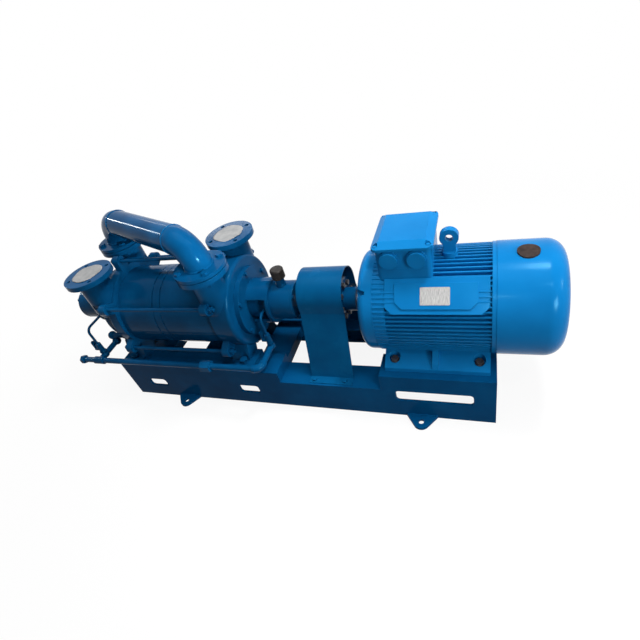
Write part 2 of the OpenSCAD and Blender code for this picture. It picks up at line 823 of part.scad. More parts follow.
module cooling_fan() {
  fan_r = cowl_r - 32;
  color("gray") difference() {
    union() {
      axis_ring(fan_x, fan_x + 6, fan_r);
      axis_ring(fan_x, fan_x + 42, mjournal_r + 12);
      for (i = [0:8]) on_axis(fan_x + 5) rotate(40 * i) translate([mjournal_r + 8, -3, 0])
        cube([fan_r - mjournal_r - 12, 6, 46]);
    }
    on_axis(fan_x - 1) cylinder(h = 70, r = mjournal_r - 7);
  }
}

// One coupling half with its face at x, its hub running towards direction d
module coupling_half(x, d, l, shaft_r, hole_r) {
  on_axis(x) mirror([0, 0, d < 0 ? 1 : 0]) difference() {
    union() {
      cylinder(h = coupling_flange_l, r = coupling_r);
      cylinder(h = l, r = hub_r);
    }
    translate([0, 0, -1]) cylinder(h = l + 2, r = shaft_r);
    for (i = [0:pin_count - 1]) rotate(360 * i / pin_count) translate([pin_circle_r, 0, -1])
      cylinder(h = coupling_flange_l + 2, r = hole_r);
  }
}

module motor_coupling_half() {
  color("slategray") coupling_half(mshaft_x, 1, motor_hub_l, mshaft_d / 2, pin_r);
}
module pump_coupling_half() {
  color("slategray") coupling_half(pshaft_x, -1, pump_hub_l, pump_end_r, bush_r + bush_c);
}

module coupling_pins() {
  color("silver") for (i = [0:pin_count - 1]) on_axis(0) rotate(360 * i / pin_count)
    translate([pin_circle_r, 0, 0]) {
      translate([0, 0, pshaft_x - coupling_flange_l])
        cylinder(h = 2 * coupling_flange_l + shaft_gap, r = pin_r);
      translate([0, 0, mshaft_x + coupling_flange_l]) hex(20, 10);
    }
}

module coupling_bushes() {
  color("black") for (i = [0:pin_count - 1]) on_axis(pshaft_x - coupling_flange_l + 3)
    rotate(360 * i / pin_count) translate([pin_circle_r, 0, 0]) difference() {
      cylinder(h = coupling_flange_l - 4, r = bush_r);
      translate([0, 0, -1]) cylinder(h = coupling_flange_l, r = pin_r);
    }
}

module pump_shaft() {
  color("silver") {
    axis_ring(rear_housing_x0 + shaft_tail, rear_housing_x1, rear_journal_r);
    axis_ring(rear_housing_x1, drive_housing_x0, pump_shaft_r);
    axis_ring(drive_housing_x0, drive_housing_x1, drive_journal_r);
    axis_ring(drive_housing_x1, pshaft_x, pump_end_r);
  }
}

module shaft_sleeves() {
  color("silver") {
    axis_ring(first_x1, drive_gland_x + gland_t + 8, sleeve_r, pump_shaft_r);
    axis_ring(rear_gland_x - gland_t - 8, second_x0, sleeve_r, pump_shaft_r);
  }
}

// One forward-curved vane growing from the hub
module vane() {
  root = impeller_hub_r - 6;
  intersection() {
    circle(r = impeller_r);
    translate([root, -vane_t]) square([impeller_r, vane_curve_r * 0.7]);
    translate([impeller_hub_r, vane_curve_r]) difference() {
      circle(r = vane_curve_r + vane_t / 2);
      circle(r = vane_curve_r - vane_t / 2);
    }
  }
}

module impeller(x0, x1) {
  l = x1 - x0;
  on_axis(x0) difference() {
    union() {
      linear_extrude(l) for (i = [0:vane_count - 1]) rotate(360 * i / vane_count) vane();
      cylinder(h = l, r = impeller_hub_r);
      translate([0, 0, l / 2 - 4]) cylinder(h = 8, r = impeller_r - 16);
    }
    translate([0, 0, -1]) cylinder(h = l + 2, r = pump_shaft_r);
  }
}

module first_impeller() color("peru") impeller(first_x0 + free_c, first_x1 - free_c);
module second_impeller() color("peru") impeller(second_x0 + free_c, second_x1 - free_c);

// Round plate with ears for the tie rods
module eared_plate(t) {
  on_axis(0) linear_extrude(t) {
    circle(r = cover_r);
    for (a = rod_angles) rotate(a + 90) {
      translate([rod_circle_r, 0]) circle(r = ear_r);
      translate([0, -ear_r]) square([rod_circle_r, 2 * ear_r]);
    }
  }
}

// Two bolted feet under a cover, from x0 to x1, with their bolt line at bolt_x
module cover_feet(x0, x1, bolt_x) {
  low = min(x0, bolt_x - 55);
  high = max(x1, bolt_x + 55);
  both_sides() {
    on_axis(x0) linear_extrude(x1 - x0) polygon([[foot_in_y, seat_rise], [foot_out_y - 26, seat_rise],
      [cover_r * 0.78, -cover_r * 0.58], [cover_r * 0.42, -cover_r * 0.72]]);
    translate([low, foot_in_y, pump_seat_z]) cube([high - low, foot_out_y - foot_in_y, foot_plate_t]);
  }
}

// Neck and flange of one port on the far side
module port_neck(x) {
  translate([x, port_y, pocket_z]) cylinder(h = port_z - pocket_z, r = neck_r);
  translate([x, port_y, pocket_z]) sphere(r = neck_r);
  translate([x, port_y, port_z - flange_t]) cylinder(h = flange_t, d = flange_d);
  translate([x, port_y, port_z - flange_t - 4]) cylinder(h = 4, r1 = neck_r, r2 = neck_r + 4);
}

// Gas way of one port, from the flange down and through the inner face
module port_way(x, face_x) {
  translate([x, port_y, pocket_z]) {
    cylinder(h = port_z - pocket_z + 1, d = port_d);
    sphere(r = port_d / 2 - 6);
  }
  low = min(x, face_x);
  on_axis(low - (face_x < x ? 1 : 0)) translate([passage_y, passage_z, 0])
    cylinder(h = abs(face_x - x) + 1, r = passage_r);
  translate([x, port_y, 0]) for (i = [0:3]) rotate(90 * i + 45)
    translate([flange_pcd / 2, 0, port_z - flange_t - 9]) cylinder(h = flange_t + 10, d = flange_hole_d);
}

// Cuts through a cover: shaft hole, tie rods, bracket bolts and foot bolts
module cover_cuts(x0, x1, face_x, bolt_x, bracket_r) {
  on_axis(x0 - box_boss_l - 1) cylinder(h = x1 - x0 + 2 * box_boss_l + 2, r = sleeve_r + free_c);
  rod_places(x0 - 2 * neck_r) cylinder(h = x1 - x0 + 4 * neck_r, r = rod_d / 2 + bolt_c);
  bracket_bolt_places(face_x - 24, bracket_r) cylinder(h = 48, d = bracket_bolt_d);
  both_sides() translate([bolt_x, pump_bolt_y, pump_seat_z - 1])
    cylinder(h = foot_plate_t + 2, r = pump_bolt_d / 2 + bolt_c);
  both_sides() translate([bolt_x, pump_bolt_y, pump_seat_z + foot_plate_t]) cylinder(h = 60, r = 21);
}

// Places of the bolts in a bracket's flange
module bracket_bolt_places(x, flange_r) {
  on_axis(x) for (i = [0:bracket_bolts - 1]) rotate(360 * (i + 0.5) / bracket_bolts)
    translate([flange_r - bracket_bolt_in, 0, 0]) children();
}

module rod_places(x) {
  on_axis(x) for (a = rod_angles) rotate(a + 90) translate([rod_circle_r, 0, 0]) children();
}

module drive_end_cover() {
  color("steelblue") difference() {
    union() {
      on_axis(drive_cover_x0) rotate_extrude() can_profile(cover_r, drive_cover_t, 14);
      translate([drive_cover_x0, 0, 0]) eared_plate(ear_t);
      axis_ring(drive_cover_x1 - 1, drive_box_x, box_boss_r);
      cover_feet(drive_cover_x0, drive_cover_x1 - 6, drive_bolt_x);
      both_sides() port_neck(drive_port_x);
    }
    both_sides() port_way(drive_port_x, drive_cover_x0);
    cover_cuts(drive_cover_x0, drive_cover_x1, drive_cover_x1, drive_bolt_x, drive_flange_r);
    on_axis(drive_box_x - box_depth) cylinder(h = box_depth + 1, r = packing_r);
    rod_places(rod_x1) cylinder(h = neck_r, r = rod_nut_af / sqrt(3) + rod_nut_c);
    on_axis(drive_cover_x0 - 200) translate([0, -eccentricity, 0]) cylinder(h = 200, r = cylinder_r + 3);
  }
}

module rear_end_cover() {
  color("steelblue") difference() {
    union() {
      on_axis(rear_cover_x1) mirror([0, 0, 1]) rotate_extrude() can_profile(cover_r, 52, 12);
      on_axis(rear_cover_x1) mirror([0, 0, 1]) rotate_extrude() can_profile(cover_r - 26, rear_cover_t, 12);
      axis_ring(rear_box_x, rear_cover_x0 + 1, box_boss_r);
      translate([rear_cover_x0 - feed_boss_h, -riser_y, feed_z]) rotate([0, 90, 0])
        cylinder(h = rear_cover_t - 40, r = feed_boss_r);
      translate([rod_x0, 0, 0]) eared_plate(ear_t);
      cover_feet(rear_cover_x1 - 100, rear_cover_x1, rear_bolt_x);
      both_sides() port_neck(rear_port_x);
    }
    both_sides() port_way(rear_port_x, rear_cover_x1);
    cover_cuts(rear_cover_x0, rear_cover_x1, rear_cover_x0, rear_bolt_x, rear_flange_r);
    on_axis(rear_box_x - 1) cylinder(h = box_depth + 1, r = packing_r);
    rod_places(rod_x0 - neck_r) cylinder(h = neck_r, r = rod_nut_af / sqrt(3) + rod_nut_c);
    on_axis(rear_cover_x0 - neck_r) difference() {
      cylinder(h = neck_r, r = rear_flange_r + 2);
      cylinder(h = neck_r, r = box_boss_r);
    }
    on_axis(rear_cover_x1) translate([0, -eccentricity, 0]) cylinder(h = 200, r = cylinder_r + 3);
  }
}

// Plate against the impeller's end, with a curved gas window on each side
module port_plate(x0) {
  on_axis(x0) linear_extrude(port_plate_t) difference() {
    translate([0, -eccentricity]) circle(r = cylinder_r);
    circle(r = sleeve_r + free_c);
    for (m = [0, 1]) mirror([m, 0]) intersection() {
      difference() {
        circle(r = impeller_r - 8);
        circle(r = impeller_hub_r + 30);
      }
      polygon([[0, 0], [300, 40], [300, 300], [120, 300]]);
    }
  }
}

module first_port_plate() color("lightsteelblue") port_plate(first_x1);
module second_port_plate() color("lightsteelblue") port_plate(second_x0 - port_plate_t);

module cylinder_shell(x0, x1, inner) {
  translate([0, 0, -eccentricity]) axis_ring(x0, x1, cylinder_r, inner);
}

module first_cylinder() color("steelblue") cylinder_shell(first_x0, first_x1, bore_r);
module second_cylinder() color("steelblue") cylinder_shell(second_x0, second_x1, bore_r);

module middle_plate() {
  color("steelblue") difference() {
    cylinder_shell(second_x1, first_x0, 0);
    on_axis(second_x1 - 1) cylinder(h = middle_t + 2, r = pump_shaft_r + free_c);
    for (x = [second_x1 + 3, first_x0 - 7]) translate([0, 0, -eccentricity])
      axis_ring(x, x + 4, cylinder_r + 9, cylinder_r - 4);
  }
}

module tie_rods() {
  color("steelblue") rod_places(rod_x0 - rod_nut_h - 8)
    cylinder(h = rod_x1 - rod_x0 + 2 * rod_nut_h + 16, d = rod_d);
}

module tie_rod_nuts() {
  color("steelblue") for (x = [rod_x0 - rod_nut_h, rod_x1]) rod_places(x) difference() {
    hex(rod_nut_af, rod_nut_h);
    translate([0, 0, -1]) cylinder(h = rod_nut_h + 2, d = rod_d);
  }
}

module pump_foot_bolts() {
  color("black") both_sides() for (x = [drive_bolt_x, rear_bolt_x])
    translate([x, pump_bolt_y, pump_seat_z + foot_plate_t]) {
      translate([0, 0, 3]) through_bolt(pump_bolt_d, foot_plate_t + 3 + rail_t);
      cylinder(h = 3, r = 20);
    }
}

module packing_rings() {
  rear_end = rear_box_x + box_depth - 1;
  color("tan") for (i = [0:packing_rings - 1]) {
    axis_ring(drive_box_x - box_depth + i * packing_w, drive_box_x - box_depth + (i + 1) * packing_w,
      packing_r, sleeve_r + run_c);
    axis_ring(rear_end - (i + 1) * packing_w, rear_end - i * packing_w, packing_r, sleeve_r + run_c);
  }
}

// Gland with its nose from the packing to its oval flange, drawn along +z
module gland(nose_l) {
  difference() {
    union() {
      cylinder(h = nose_l, r = packing_r - 0.5);
      translate([0, 0, nose_l]) linear_extrude(gland_t) {
        circle(r = gland_rim_r);
        for (s = [-1, 1]) translate([0, s * gland_stud_z]) circle(r = gland_ear_r);
        square([2 * gland_ear_r, 2 * gland_stud_z], center = true);
      }
    }
    translate([0, 0, -1]) cylinder(h = nose_l + gland_t + 2, r = sleeve_r + free_c);
    for (s = [-1, 1]) translate([0, s * gland_stud_z, nose_l - 1])
      cylinder(h = gland_t + 2, r = gland_stud_d / 2 + bolt_c);
  }
}

module glands() {
  color("goldenrod") {
    on_axis(drive_nose_x) gland(drive_gland_x - drive_nose_x);
    on_axis(rear_nose_x) mirror([0, 0, 1]) gland(rear_nose_x - rear_gland_x);
  }
}

// Stud from a stuffing box through its gland, with its nut, drawn along +z
module gland_stud(reach) {
  for (s = [-1, 1]) translate([0, s * gland_stud_z, 0]) {
    cylinder(h = reach + gland_t + 14, d = gland_stud_d);
    translate([0, 0, reach + gland_t]) hex(16, 8);
  }
}

module gland_studs() {
  color("silver") {
    on_axis(drive_box_x) gland_stud(drive_gland_x - drive_box_x);
    on_axis(rear_box_x) mirror([0, 0, 1]) gland_stud(rear_box_x - rear_gland_x);
  }
}

// Open bracket from a cover to its bearing housing, drawn along +z from the cover
module bracket(flange_r, lantern_l, housing_r, housing_l, seat_r, journal_r) {
  face = bracket_flange_t + lantern_l;
  difference() {
    union() {
      cylinder(h = bracket_flange_t, r = flange_r);
      cylinder(h = face, r = lantern_r + lantern_wall);
      translate([0, 0, face - 1]) cylinder(h = housing_l + 1, r = housing_r);
    }
    for (i = [0:bracket_bolts - 1]) rotate(360 * (i + 0.5) / bracket_bolts)
      translate([flange_r - bracket_bolt_in, 0, -1]) cylinder(h = bracket_flange_t + 2, d = bracket_bolt_d);
    for (a = [45:90:315]) rotate(a) translate([housing_r - cap_bolt_in, 0, face + housing_l - 20])
      cylinder(h = 21, d = cap_bolt_d);
    translate([0, 0, -1]) cylinder(h = face - 11, r = lantern_r);
    translate([0, 0, face - 13]) cylinder(h = housing_l, r = journal_r + 8);
    translate([0, 0, face + 12]) cylinder(h = housing_l, r = seat_r);
    translate([-2 * lantern_r, -window_h / 2, bracket_flange_t])
      cube([4 * lantern_r, window_h, lantern_l - 12]);
  }
}

module drive_bracket() {
  color("steelblue") difference() {
    union() {
      on_axis(drive_cover_x1) bracket(drive_flange_r, drive_lantern_l, drive_housing_r, drive_housing_l,
        drive_bearing_r, pump_shaft_r);
      cup_boss(drive_bearing_x, drive_housing_r, drive_bearing_r);
    }
    translate([drive_bearing_x, 0, axis_z]) cylinder(h = 200, r = 5);
  }
}

module rear_bracket() {
  color("steelblue") difference() {
    union() {
      on_axis(rear_cover_x0) mirror([0, 0, 1]) bracket(rear_flange_r, rear_lantern_l, rear_housing_r,
        rear_housing_l, rear_bearing_r, pump_shaft_r);
      cup_boss(rear_bearing_x, rear_housing_r, rear_bearing_r);
    }
    translate([rear_bearing_x, 0, axis_z]) cylinder(h = 200, r = 5);
  }
}

// Boss for a grease cup on top of a bearing housing
module cup_boss(x, housing_r, seat_r) {
  translate([x, 0, axis_z + seat_r + 2]) cylinder(h = housing_r - seat_r + cup_boss_h - 2, r = 22);
}

module pump_bearings() {
  color("silver") {
    bearing(drive_bearing_x - drive_bearing_w / 2, drive_bearing_w, drive_bearing_r, drive_journal_r);
    bearing(rear_bearing_x - rear_bearing_w / 2, rear_bearing_w, rear_bearing_r, rear_journal_r);
  }
}

module bearing_covers() {
  drive_spigot = drive_housing_x1 - drive_bearing_x - drive_bearing_w / 2;
  rear_spigot = rear_bearing_x - rear_bearing_w / 2 - rear_housing_x0;
  color("steelblue") difference() {
    union() {
      axis_ring(drive_housing_x1 - drive_spigot, drive_housing_x1, drive_bearing_r, drive_bearing_r - 12);
      axis_ring(drive_housing_x1, drive_cap_x1, drive_housing_r, pump_end_r + free_c);
      axis_ring(rear_housing_x0, rear_housing_x0 + rear_spigot, rear_bearing_r, rear_bearing_r - 12);
      axis_ring(rear_housing_x0 - cap_t, rear_housing_x0, rear_housing_r);
    }
    cap_bolt_places(drive_housing_x1 - 1, drive_housing_r) cylinder(h = cap_t + 2, d = cap_bolt_d);
    cap_bolt_places(rear_housing_x0 - cap_t - 1, rear_housing_r) cylinder(h = cap_t + 2, d = cap_bolt_d);
  }
}

// Places of the four bolts in a bearing cover
module cap_bolt_places(x, housing_r) {
  on_axis(x) for (a = [45:90:315]) rotate(a) translate([housing_r - cap_bolt_in, 0, 0]) children();
}

// Bolt with its head above z = 0 and its shank going down
module head_bolt(d, l) {
  hex(1.6 * d, 0.65 * d);
  translate([0, 0, -l]) cylinder(h = l, d = d);
}

// Bolts of the brackets, bearing covers and drive shield
module machine_bolts() {
  color("silver") {
    bracket_bolt_places(drive_flange_x1, drive_flange_r) head_bolt(bracket_bolt_d, bracket_flange_t + 20);
    bracket_bolt_places(rear_flange_x0, rear_flange_r) mirror([0, 0, 1])
      head_bolt(bracket_bolt_d, bracket_flange_t + 20);
    cap_bolt_places(drive_cap_x1, drive_housing_r) head_bolt(cap_bolt_d, cap_t + 16);
    cap_bolt_places(rear_housing_x0 - cap_t, rear_housing_r) mirror([0, 0, 1])
      head_bolt(cap_bolt_d, cap_t + 16);
    shield_bolt_places(frame_x0 - shield_boss_l) mirror([0, 0, 1])
      head_bolt(shield_bolt_d, shield_boss_l + 16);
  }
}

// Grease cup body: hexagon foot and round stem
module cup_body(x, z) {
  translate([x, 0, z]) {
    hex(36, cup_seat_h - 6);
    cylinder(h = cup_seat_h, r = 16);
    cylinder(h = cup_seat_h + cup_h - 16, r = cup_stem_r - 3);
    translate([0, 0, cup_seat_h + cup_gap]) cylinder(h = cup_h - 16, r = cup_stem_r);
  }
}

module grease_cups() {
  color("dimgray") {
    cup_body(drive_bearing_x, drive_cup_z);
    cup_body(rear_bearing_x, rear_cup_z);
  }
}

// Fluted screw cap that turns on the cup's stem
module cup_cap(x, z) {
  color("black") translate([x, 0, z + cup_seat_h + cup_gap]) difference() {
    rotate_extrude() can_profile(cup_r, cup_h, 7);
    translate([0, 0, -1]) cylinder(h = cup_h - 9, r = cup_stem_r + run_c);
    for (i = [0:15]) rotate(22.5 * i) translate([cup_r + 2, 0, 4]) cylinder(h = cup_h - 14, r = 4);
  }
}

module drive_cup_cap() cup_cap(drive_bearing_x, drive_cup_z);
module rear_cup_cap() cup_cap(rear_bearing_x, rear_cup_z);

// Cross-section of the crossover's pipe wall
module pipe_ring() {
  difference() {
    circle(d = pipe_d);
    circle(r = pipe_d / 2 - pipe_wall);
  }
}

// The two flanged ends of the crossover
module crossover_ends(z) {
  translate([drive_port_x, -port_y, z]) children();
  translate([rear_port_x, port_y, z]) children();
}

// Four places on a flange's bolt circle
module flange_bolt_places() {
  for (i = [0:3]) rotate(90 * i + 45) translate([flange_pcd / 2, 0, 0]) children();
}

// Two flanges, two elbows and the level run, drawn along the line between the two ports
module crossover_pipe() {
  run = crossover_span - 2 * elbow_r;
  color("steelblue") translate([drive_port_x, -port_y, crossover_z0]) rotate([0, 0, crossover_turn]) {
    for (x = [0, crossover_span]) translate([x, 0, 0]) linear_extrude(crossover_flange_t) difference() {
      circle(d = flange_d);
      circle(r = pipe_d / 2 - pipe_wall);
      rotate(-crossover_turn) flange_bolt_places() circle(d = flange_hole_d);
    }
    translate([elbow_r, 0, crossover_flange_t]) rotate([90, 0, 180]) rotate_extrude(angle = 90)
      translate([elbow_r, 0]) pipe_ring();
    translate([elbow_r, 0, crossover_flange_t + elbow_r]) rotate([0, 90, 0]) linear_extrude(run) pipe_ring();
    translate([elbow_r + run, 0, crossover_flange_t]) rotate([90, 0, 0]) rotate_extrude(angle = 90)
      translate([elbow_r, 0]) pipe_ring();
  }
}

module crossover_gaskets() {
  color("black") crossover_ends(port_z) linear_extrude(gasket_t) difference() {
    circle(d = flange_pcd - flange_hole_d - 2);
    circle(d = port_d);
  }
}

module crossover_bolts() {
  color("silver") crossover_ends(crossover_z0 + crossover_flange_t) flange_bolt_places()
    through_bolt(flange_bolt_d, flange_t + crossover_flange_t + gasket_t);
}

// Two bolts through each foot of the guard
module guard_bolt_places(z) {
  for (x = [guard_x0 + 19, guard_x0 + guard_l - 33]) translate([x, guard_bolt_y, z]) children();
}

// One flared leg of the guard with its foot, seen along the shaft from the arch's centre
module guard_leg(drop) {
  bend = guard_bend_z - axis_z - guard_rise + guard_half_w;
  polygon([[guard_half_w - guard_t, 0], [guard_half_w, 0], [guard_half_w, bend],
    [guard_leg_y, guard_t - drop], [guard_foot_y, guard_t - drop], [guard_foot_y, -drop],
    [guard_leg_y - guard_t, -drop], [guard_half_w - guard_t, bend]]);
}

// Bent sheet: arch over the coupling, two flared legs and two feet
module coupling_guard() {
  arch_z = axis_z + guard_rise - guard_half_w;
  color("steelblue") difference() {
    translate([guard_x0, 0, arch_z]) rotate([90, 0, 90]) {
      rotate_extrude(angle = 180) translate([guard_half_w - guard_t, 0]) square([guard_t, guard_l]);
      for (m = [0, 1]) mirror([m, 0, 0]) linear_extrude(guard_l) guard_leg(arch_z - deck_z);
    }
    both_sides() guard_bolt_places(deck_z - 1) cylinder(h = guard_t + 2, r = guard_bolt_d / 2 + bolt_c);
  }
}

module guard_bolts() {
  color("silver") both_sides() guard_bolt_places(deck_z + guard_t)
    through_bolt(guard_bolt_d, guard_t + rail_t);
}

// Places children at the header's drive end, with z along the rising header
module along_header() {
  translate([drive_branch_x, -header_y, header_z]) rotate([0, header_fall - 90, 0]) children();
}

// Header pipe with elbow, union, tee and end plug, and its two branches
module water_header() {
  color("steelblue") {
    along_header() {
      translate([0, 0, header_bend - 1])
        cylinder(h = header_len + header_tail - header_bend + 2, r = header_r);
      translate([0, 0, header_bend - 6]) cylinder(h = 16, r = fitting_r);
      translate([0, 0, header_len * 0.3 - 24]) hex(2 * fitting_r + 8, 48);
      translate([0, 0, header_len - 28]) cylinder(h = 56, r = fitting_r);
      translate([0, 0, header_len + header_tail]) hex(2 * fitting_r, 18);
    }
    translate([drive_branch_x - header_bend, header_bend - header_y, header_z]) rotate([0, 0, -90])
      rotate_extrude(angle = 90) translate([header_bend, 0]) circle(r = fitting_r - 1);
    translate([drive_branch_x, -header_y, header_z]) rotate([-90, 0, 0]) {
      translate([0, 0, header_bend - 1]) cylinder(h = branch_run - header_bend + 1, r = header_r);
      translate([0, 0, header_bend - 6]) cylinder(h = 14, r = fitting_r);
    }
    translate([drive_branch_x, -riser_y, header_z]) sphere(r = fitting_r);
    translate([rear_branch_x, -header_y, rear_header_z]) rotate([-90, 0, 0])
      cylinder(h = branch_run, r = header_r);
    translate([rear_branch_x, -rear_riser_y, rear_header_z]) sphere(r = fitting_r);
    translate([rear_branch_x, -riser_y, rear_header_z]) {
      sphere(r = elbow_ball_r);
      cylinder(h = feed_z - rear_header_z, r = header_r);
    }
    translate([rear_branch_x, -riser_y, feed_z]) {
      sphere(r = elbow_ball_r);
      rotate([0, 90, 0]) {
        cylinder(h = feed_run, r = header_r);
        translate([0, 0, feed_run - 12]) cylinder(h = 12, r = fitting_r - 2);
      }
    }
  }
}

// Riser of one stuffing box: cock body standing on its branch
module cock(x, y, z) {
  translate([x, -y, z]) difference() {
    union() {
      translate([0, 0, fitting_r - 2]) cylinder(h = cock_l, r = cock_r);
      translate([0, 0, fitting_r - 2]) hex(2 * cock_r + 2, 10);
      translate([0, 0, cock_rise]) rotate([0, -90, 0]) cylinder(h = cock_r + cock_neck, r = cock_r - 2);
    }
    sphere(r = fitting_r);
    translate([0, 0, cock_rise]) rotate([0, -90, 0]) translate([0, 0, cock_r - 6])
      cylinder(h = cock_neck + 8, r = cock_stem_r + run_c);
  }
}

module sealing_cocks() {
  color("goldenrod") {
    cock(drive_branch_x, riser_y, header_z);
    cock(rear_branch_x, rear_riser_y, rear_header_z);
  }
}

// Thin tube from a cock up to shaft height and across to its gland
module sealing_tube(x, y, z) {
  start = z + fitting_r - 2 + cock_l;
  rise = axis_z - tube_bend - start;
  translate([x, -y, start]) {
    cylinder(h = rise, d = tube_d);
    hex(tube_d + 10, 12);
    translate([0, tube_bend, rise]) rotate([90, 0, -90]) rotate_extrude(angle = 90)
      translate([tube_bend, 0]) circle(d = tube_d);
    translate([0, tube_bend, rise + tube_bend]) rotate([-90, 0, 0])
      cylinder(h = y - tube_bend - gland_rim_r - 1, d = tube_d);
  }
}

module sealing_tubes() {
  color("steelblue") {
    sealing_tube(drive_branch_x, riser_y, header_z);
    sealing_tube(rear_branch_x, rear_riser_y, rear_header_z);
  }
}

// Lever with its stem in the cock, pointing up while the cock is open
module cock_handle(x, y, z) {
  color("black") translate([x, -y, z + cock_rise]) rotate([0, -90, 0]) {
    translate([0, 0, cock_r - 5]) cylinder(h = cock_neck + 6, r = cock_stem_r);
    translate([0, 0, cock_r + cock_neck + handle_c]) {
      cylinder(h = handle_t, r = cock_r - 2);
      translate([0, 4 - cock_r, 0]) cube([handle_l, 2 * (cock_r - 4), handle_t]);
      translate([handle_l, 0, 0]) cylinder(h = handle_t, r = cock_r - 4);
    }
  }
}

module drive_cock_handle() cock_handle(drive_branch_x, riser_y, header_z);
module rear_cock_handle() cock_handle(rear_branch_x, rear_riser_y, rear_header_z);

near_side_channel();
far_side_channel();
cross_channels();
end_plates();
anchor_lugs();
motor_frame();
drive_shield();
rear_shield();
fan_cowl();
cowl_plug();
terminal_box();
terminal_cover();
terminal_screws();
gland_plugs();
lifting_eye();
stator_core();
motor_bearings();
motor_foot_bolts();
motor_shaft();
rotor_core();
cooling_fan();
motor_coupling_half();
coupling_pins();
coupling_bushes();
pump_coupling_half();
pump_shaft();
shaft_sleeves();
first_impeller();
second_impeller();
drive_end_cover();
first_port_plate();
first_cylinder();
middle_plate();
second_cylinder();
second_port_plate();
rear_end_cover();
tie_rods();
tie_rod_nuts();
pump_foot_bolts();
packing_rings();
glands();
gland_studs();
drive_bracket();
rear_bracket();
pump_bearings();
bearing_covers();
machine_bolts();
grease_cups();
drive_cup_cap();
rear_cup_cap();
crossover_pipe();
crossover_gaskets();
crossover_bolts();
coupling_guard();
guard_bolts();
water_header();
sealing_cocks();
sealing_tubes();
drive_cock_handle();
rear_cock_handle();
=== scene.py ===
import bpy
import bmesh
import math
import random
from mathutils import Vector, Matrix


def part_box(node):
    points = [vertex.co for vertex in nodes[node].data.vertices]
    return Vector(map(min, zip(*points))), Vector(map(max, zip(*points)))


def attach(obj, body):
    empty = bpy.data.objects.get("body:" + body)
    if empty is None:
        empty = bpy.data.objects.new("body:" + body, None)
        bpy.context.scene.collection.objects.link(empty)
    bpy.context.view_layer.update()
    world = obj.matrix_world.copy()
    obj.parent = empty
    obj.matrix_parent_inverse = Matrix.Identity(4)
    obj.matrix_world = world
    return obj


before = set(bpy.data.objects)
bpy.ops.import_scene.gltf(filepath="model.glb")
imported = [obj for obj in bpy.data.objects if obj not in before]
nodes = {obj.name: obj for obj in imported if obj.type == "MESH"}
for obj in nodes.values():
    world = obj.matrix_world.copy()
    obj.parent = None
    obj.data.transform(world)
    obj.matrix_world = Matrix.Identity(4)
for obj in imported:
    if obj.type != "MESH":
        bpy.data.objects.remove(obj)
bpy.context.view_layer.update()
print("frame loaded:", len(nodes), "nodes")

scene = bpy.context.scene
scene.view_settings.view_transform = "Standard"


# small helpers for building shader trees

def startMaterial(name):
    mat = bpy.data.materials.new(name)
    mat.use_nodes = True
    tree = mat.node_tree
    return mat, tree, tree.nodes["Principled BSDF"]


def addNode(tree, kind, **values):
    node = tree.nodes.new(kind)
    for key, value in values.items():
        setattr(node, key, value)
    return node


def objectCoords(tree):
    return addNode(tree, "ShaderNodeTexCoord").outputs["Object"]


def noise(tree, vector, scale, detail=3.0, rough=0.55):
    tex = addNode(tree, "ShaderNodeTexNoise")
    tex.inputs["Scale"].default_value = scale
    tex.inputs["Detail"].default_value = detail
    tex.inputs["Roughness"].default_value = rough
    tree.links.new(vector, tex.inputs["Vector"])
    return tex.outputs["Fac"]


def ramp(tree, value, places, colours):
    node = addNode(tree, "ShaderNodeValToRGB")
    elements = node.color_ramp.elements
    while len(elements) < len(places):
        elements.new(0.5)
    for element, place, colour in zip(elements, places, colours):
        element.position = place
        element.color = (*colour, 1.0)
    tree.links.new(value, node.inputs["Fac"])
    return node.outputs["Color"]


def greyRamp(tree, value, places, levels):
    return ramp(tree, value, places, [(level, level, level) for level in levels])


def mixColour(tree, factor, a, b):
    node = addNode(tree, "ShaderNodeMix", data_type="RGBA", blend_type="MIX")
    tree.links.new(factor, node.inputs[0])
    for socket, value in ((node.inputs[6], a), (node.inputs[7], b)):
        if isinstance(value, tuple):
            socket.default_value = (*value, 1.0)
        else:
            tree.links.new(value, socket)
    return node.outputs[2]


def bumpChain(tree, heights, bevel):
    normal = None
    if bevel > 0:
        edge = addNode(tree, "ShaderNodeBevel", samples=4)
        edge.inputs["Radius"].default_value = bevel
        normal = edge.outputs["Normal"]
    for height, strength, distance in heights:
        node = addNode(tree, "ShaderNodeBump")
        node.inputs["Strength"].default_value = strength
        node.inputs["Distance"].default_value = distance
        tree.links.new(height, node.inputs["Height"])
        if normal is not None:
            tree.links.new(normal, node.inputs["Normal"])
        normal = node.outputs["Normal"]
    return normal


# brushed enamel over castings, plate and pipe

def enamel(name, look):
    mat, tree, shader = startMaterial(name)
    vector = objectCoords(tree)
    broad = noise(tree, vector, look["patchScale"], 4.0)
    fine = noise(tree, vector, look["peelScale"], 2.0, 0.6)
    cast = noise(tree, vector, look["castScale"], 5.0, 0.65)
    shades = ramp(tree, broad, look["shadeStops"], (look["dark"], look["main"], look["light"]))
    tree.links.new(shades, shader.inputs["Base Color"])
    tree.links.new(greyRamp(tree, broad, look["roughStops"], look["rough"]), shader.inputs["Roughness"])
    shader.inputs["Specular IOR Level"].default_value = look["specular"]
    shader.inputs["Specular Tint"].default_value = (*look["glossTint"], 1.0)
    heights = [(cast, look["castDepth"], look["castHeight"]), (fine, look["peelDepth"], look["peelHeight"])]
    tree.links.new(bumpChain(tree, heights, look["bevel"]), shader.inputs["Normal"])
    return mat


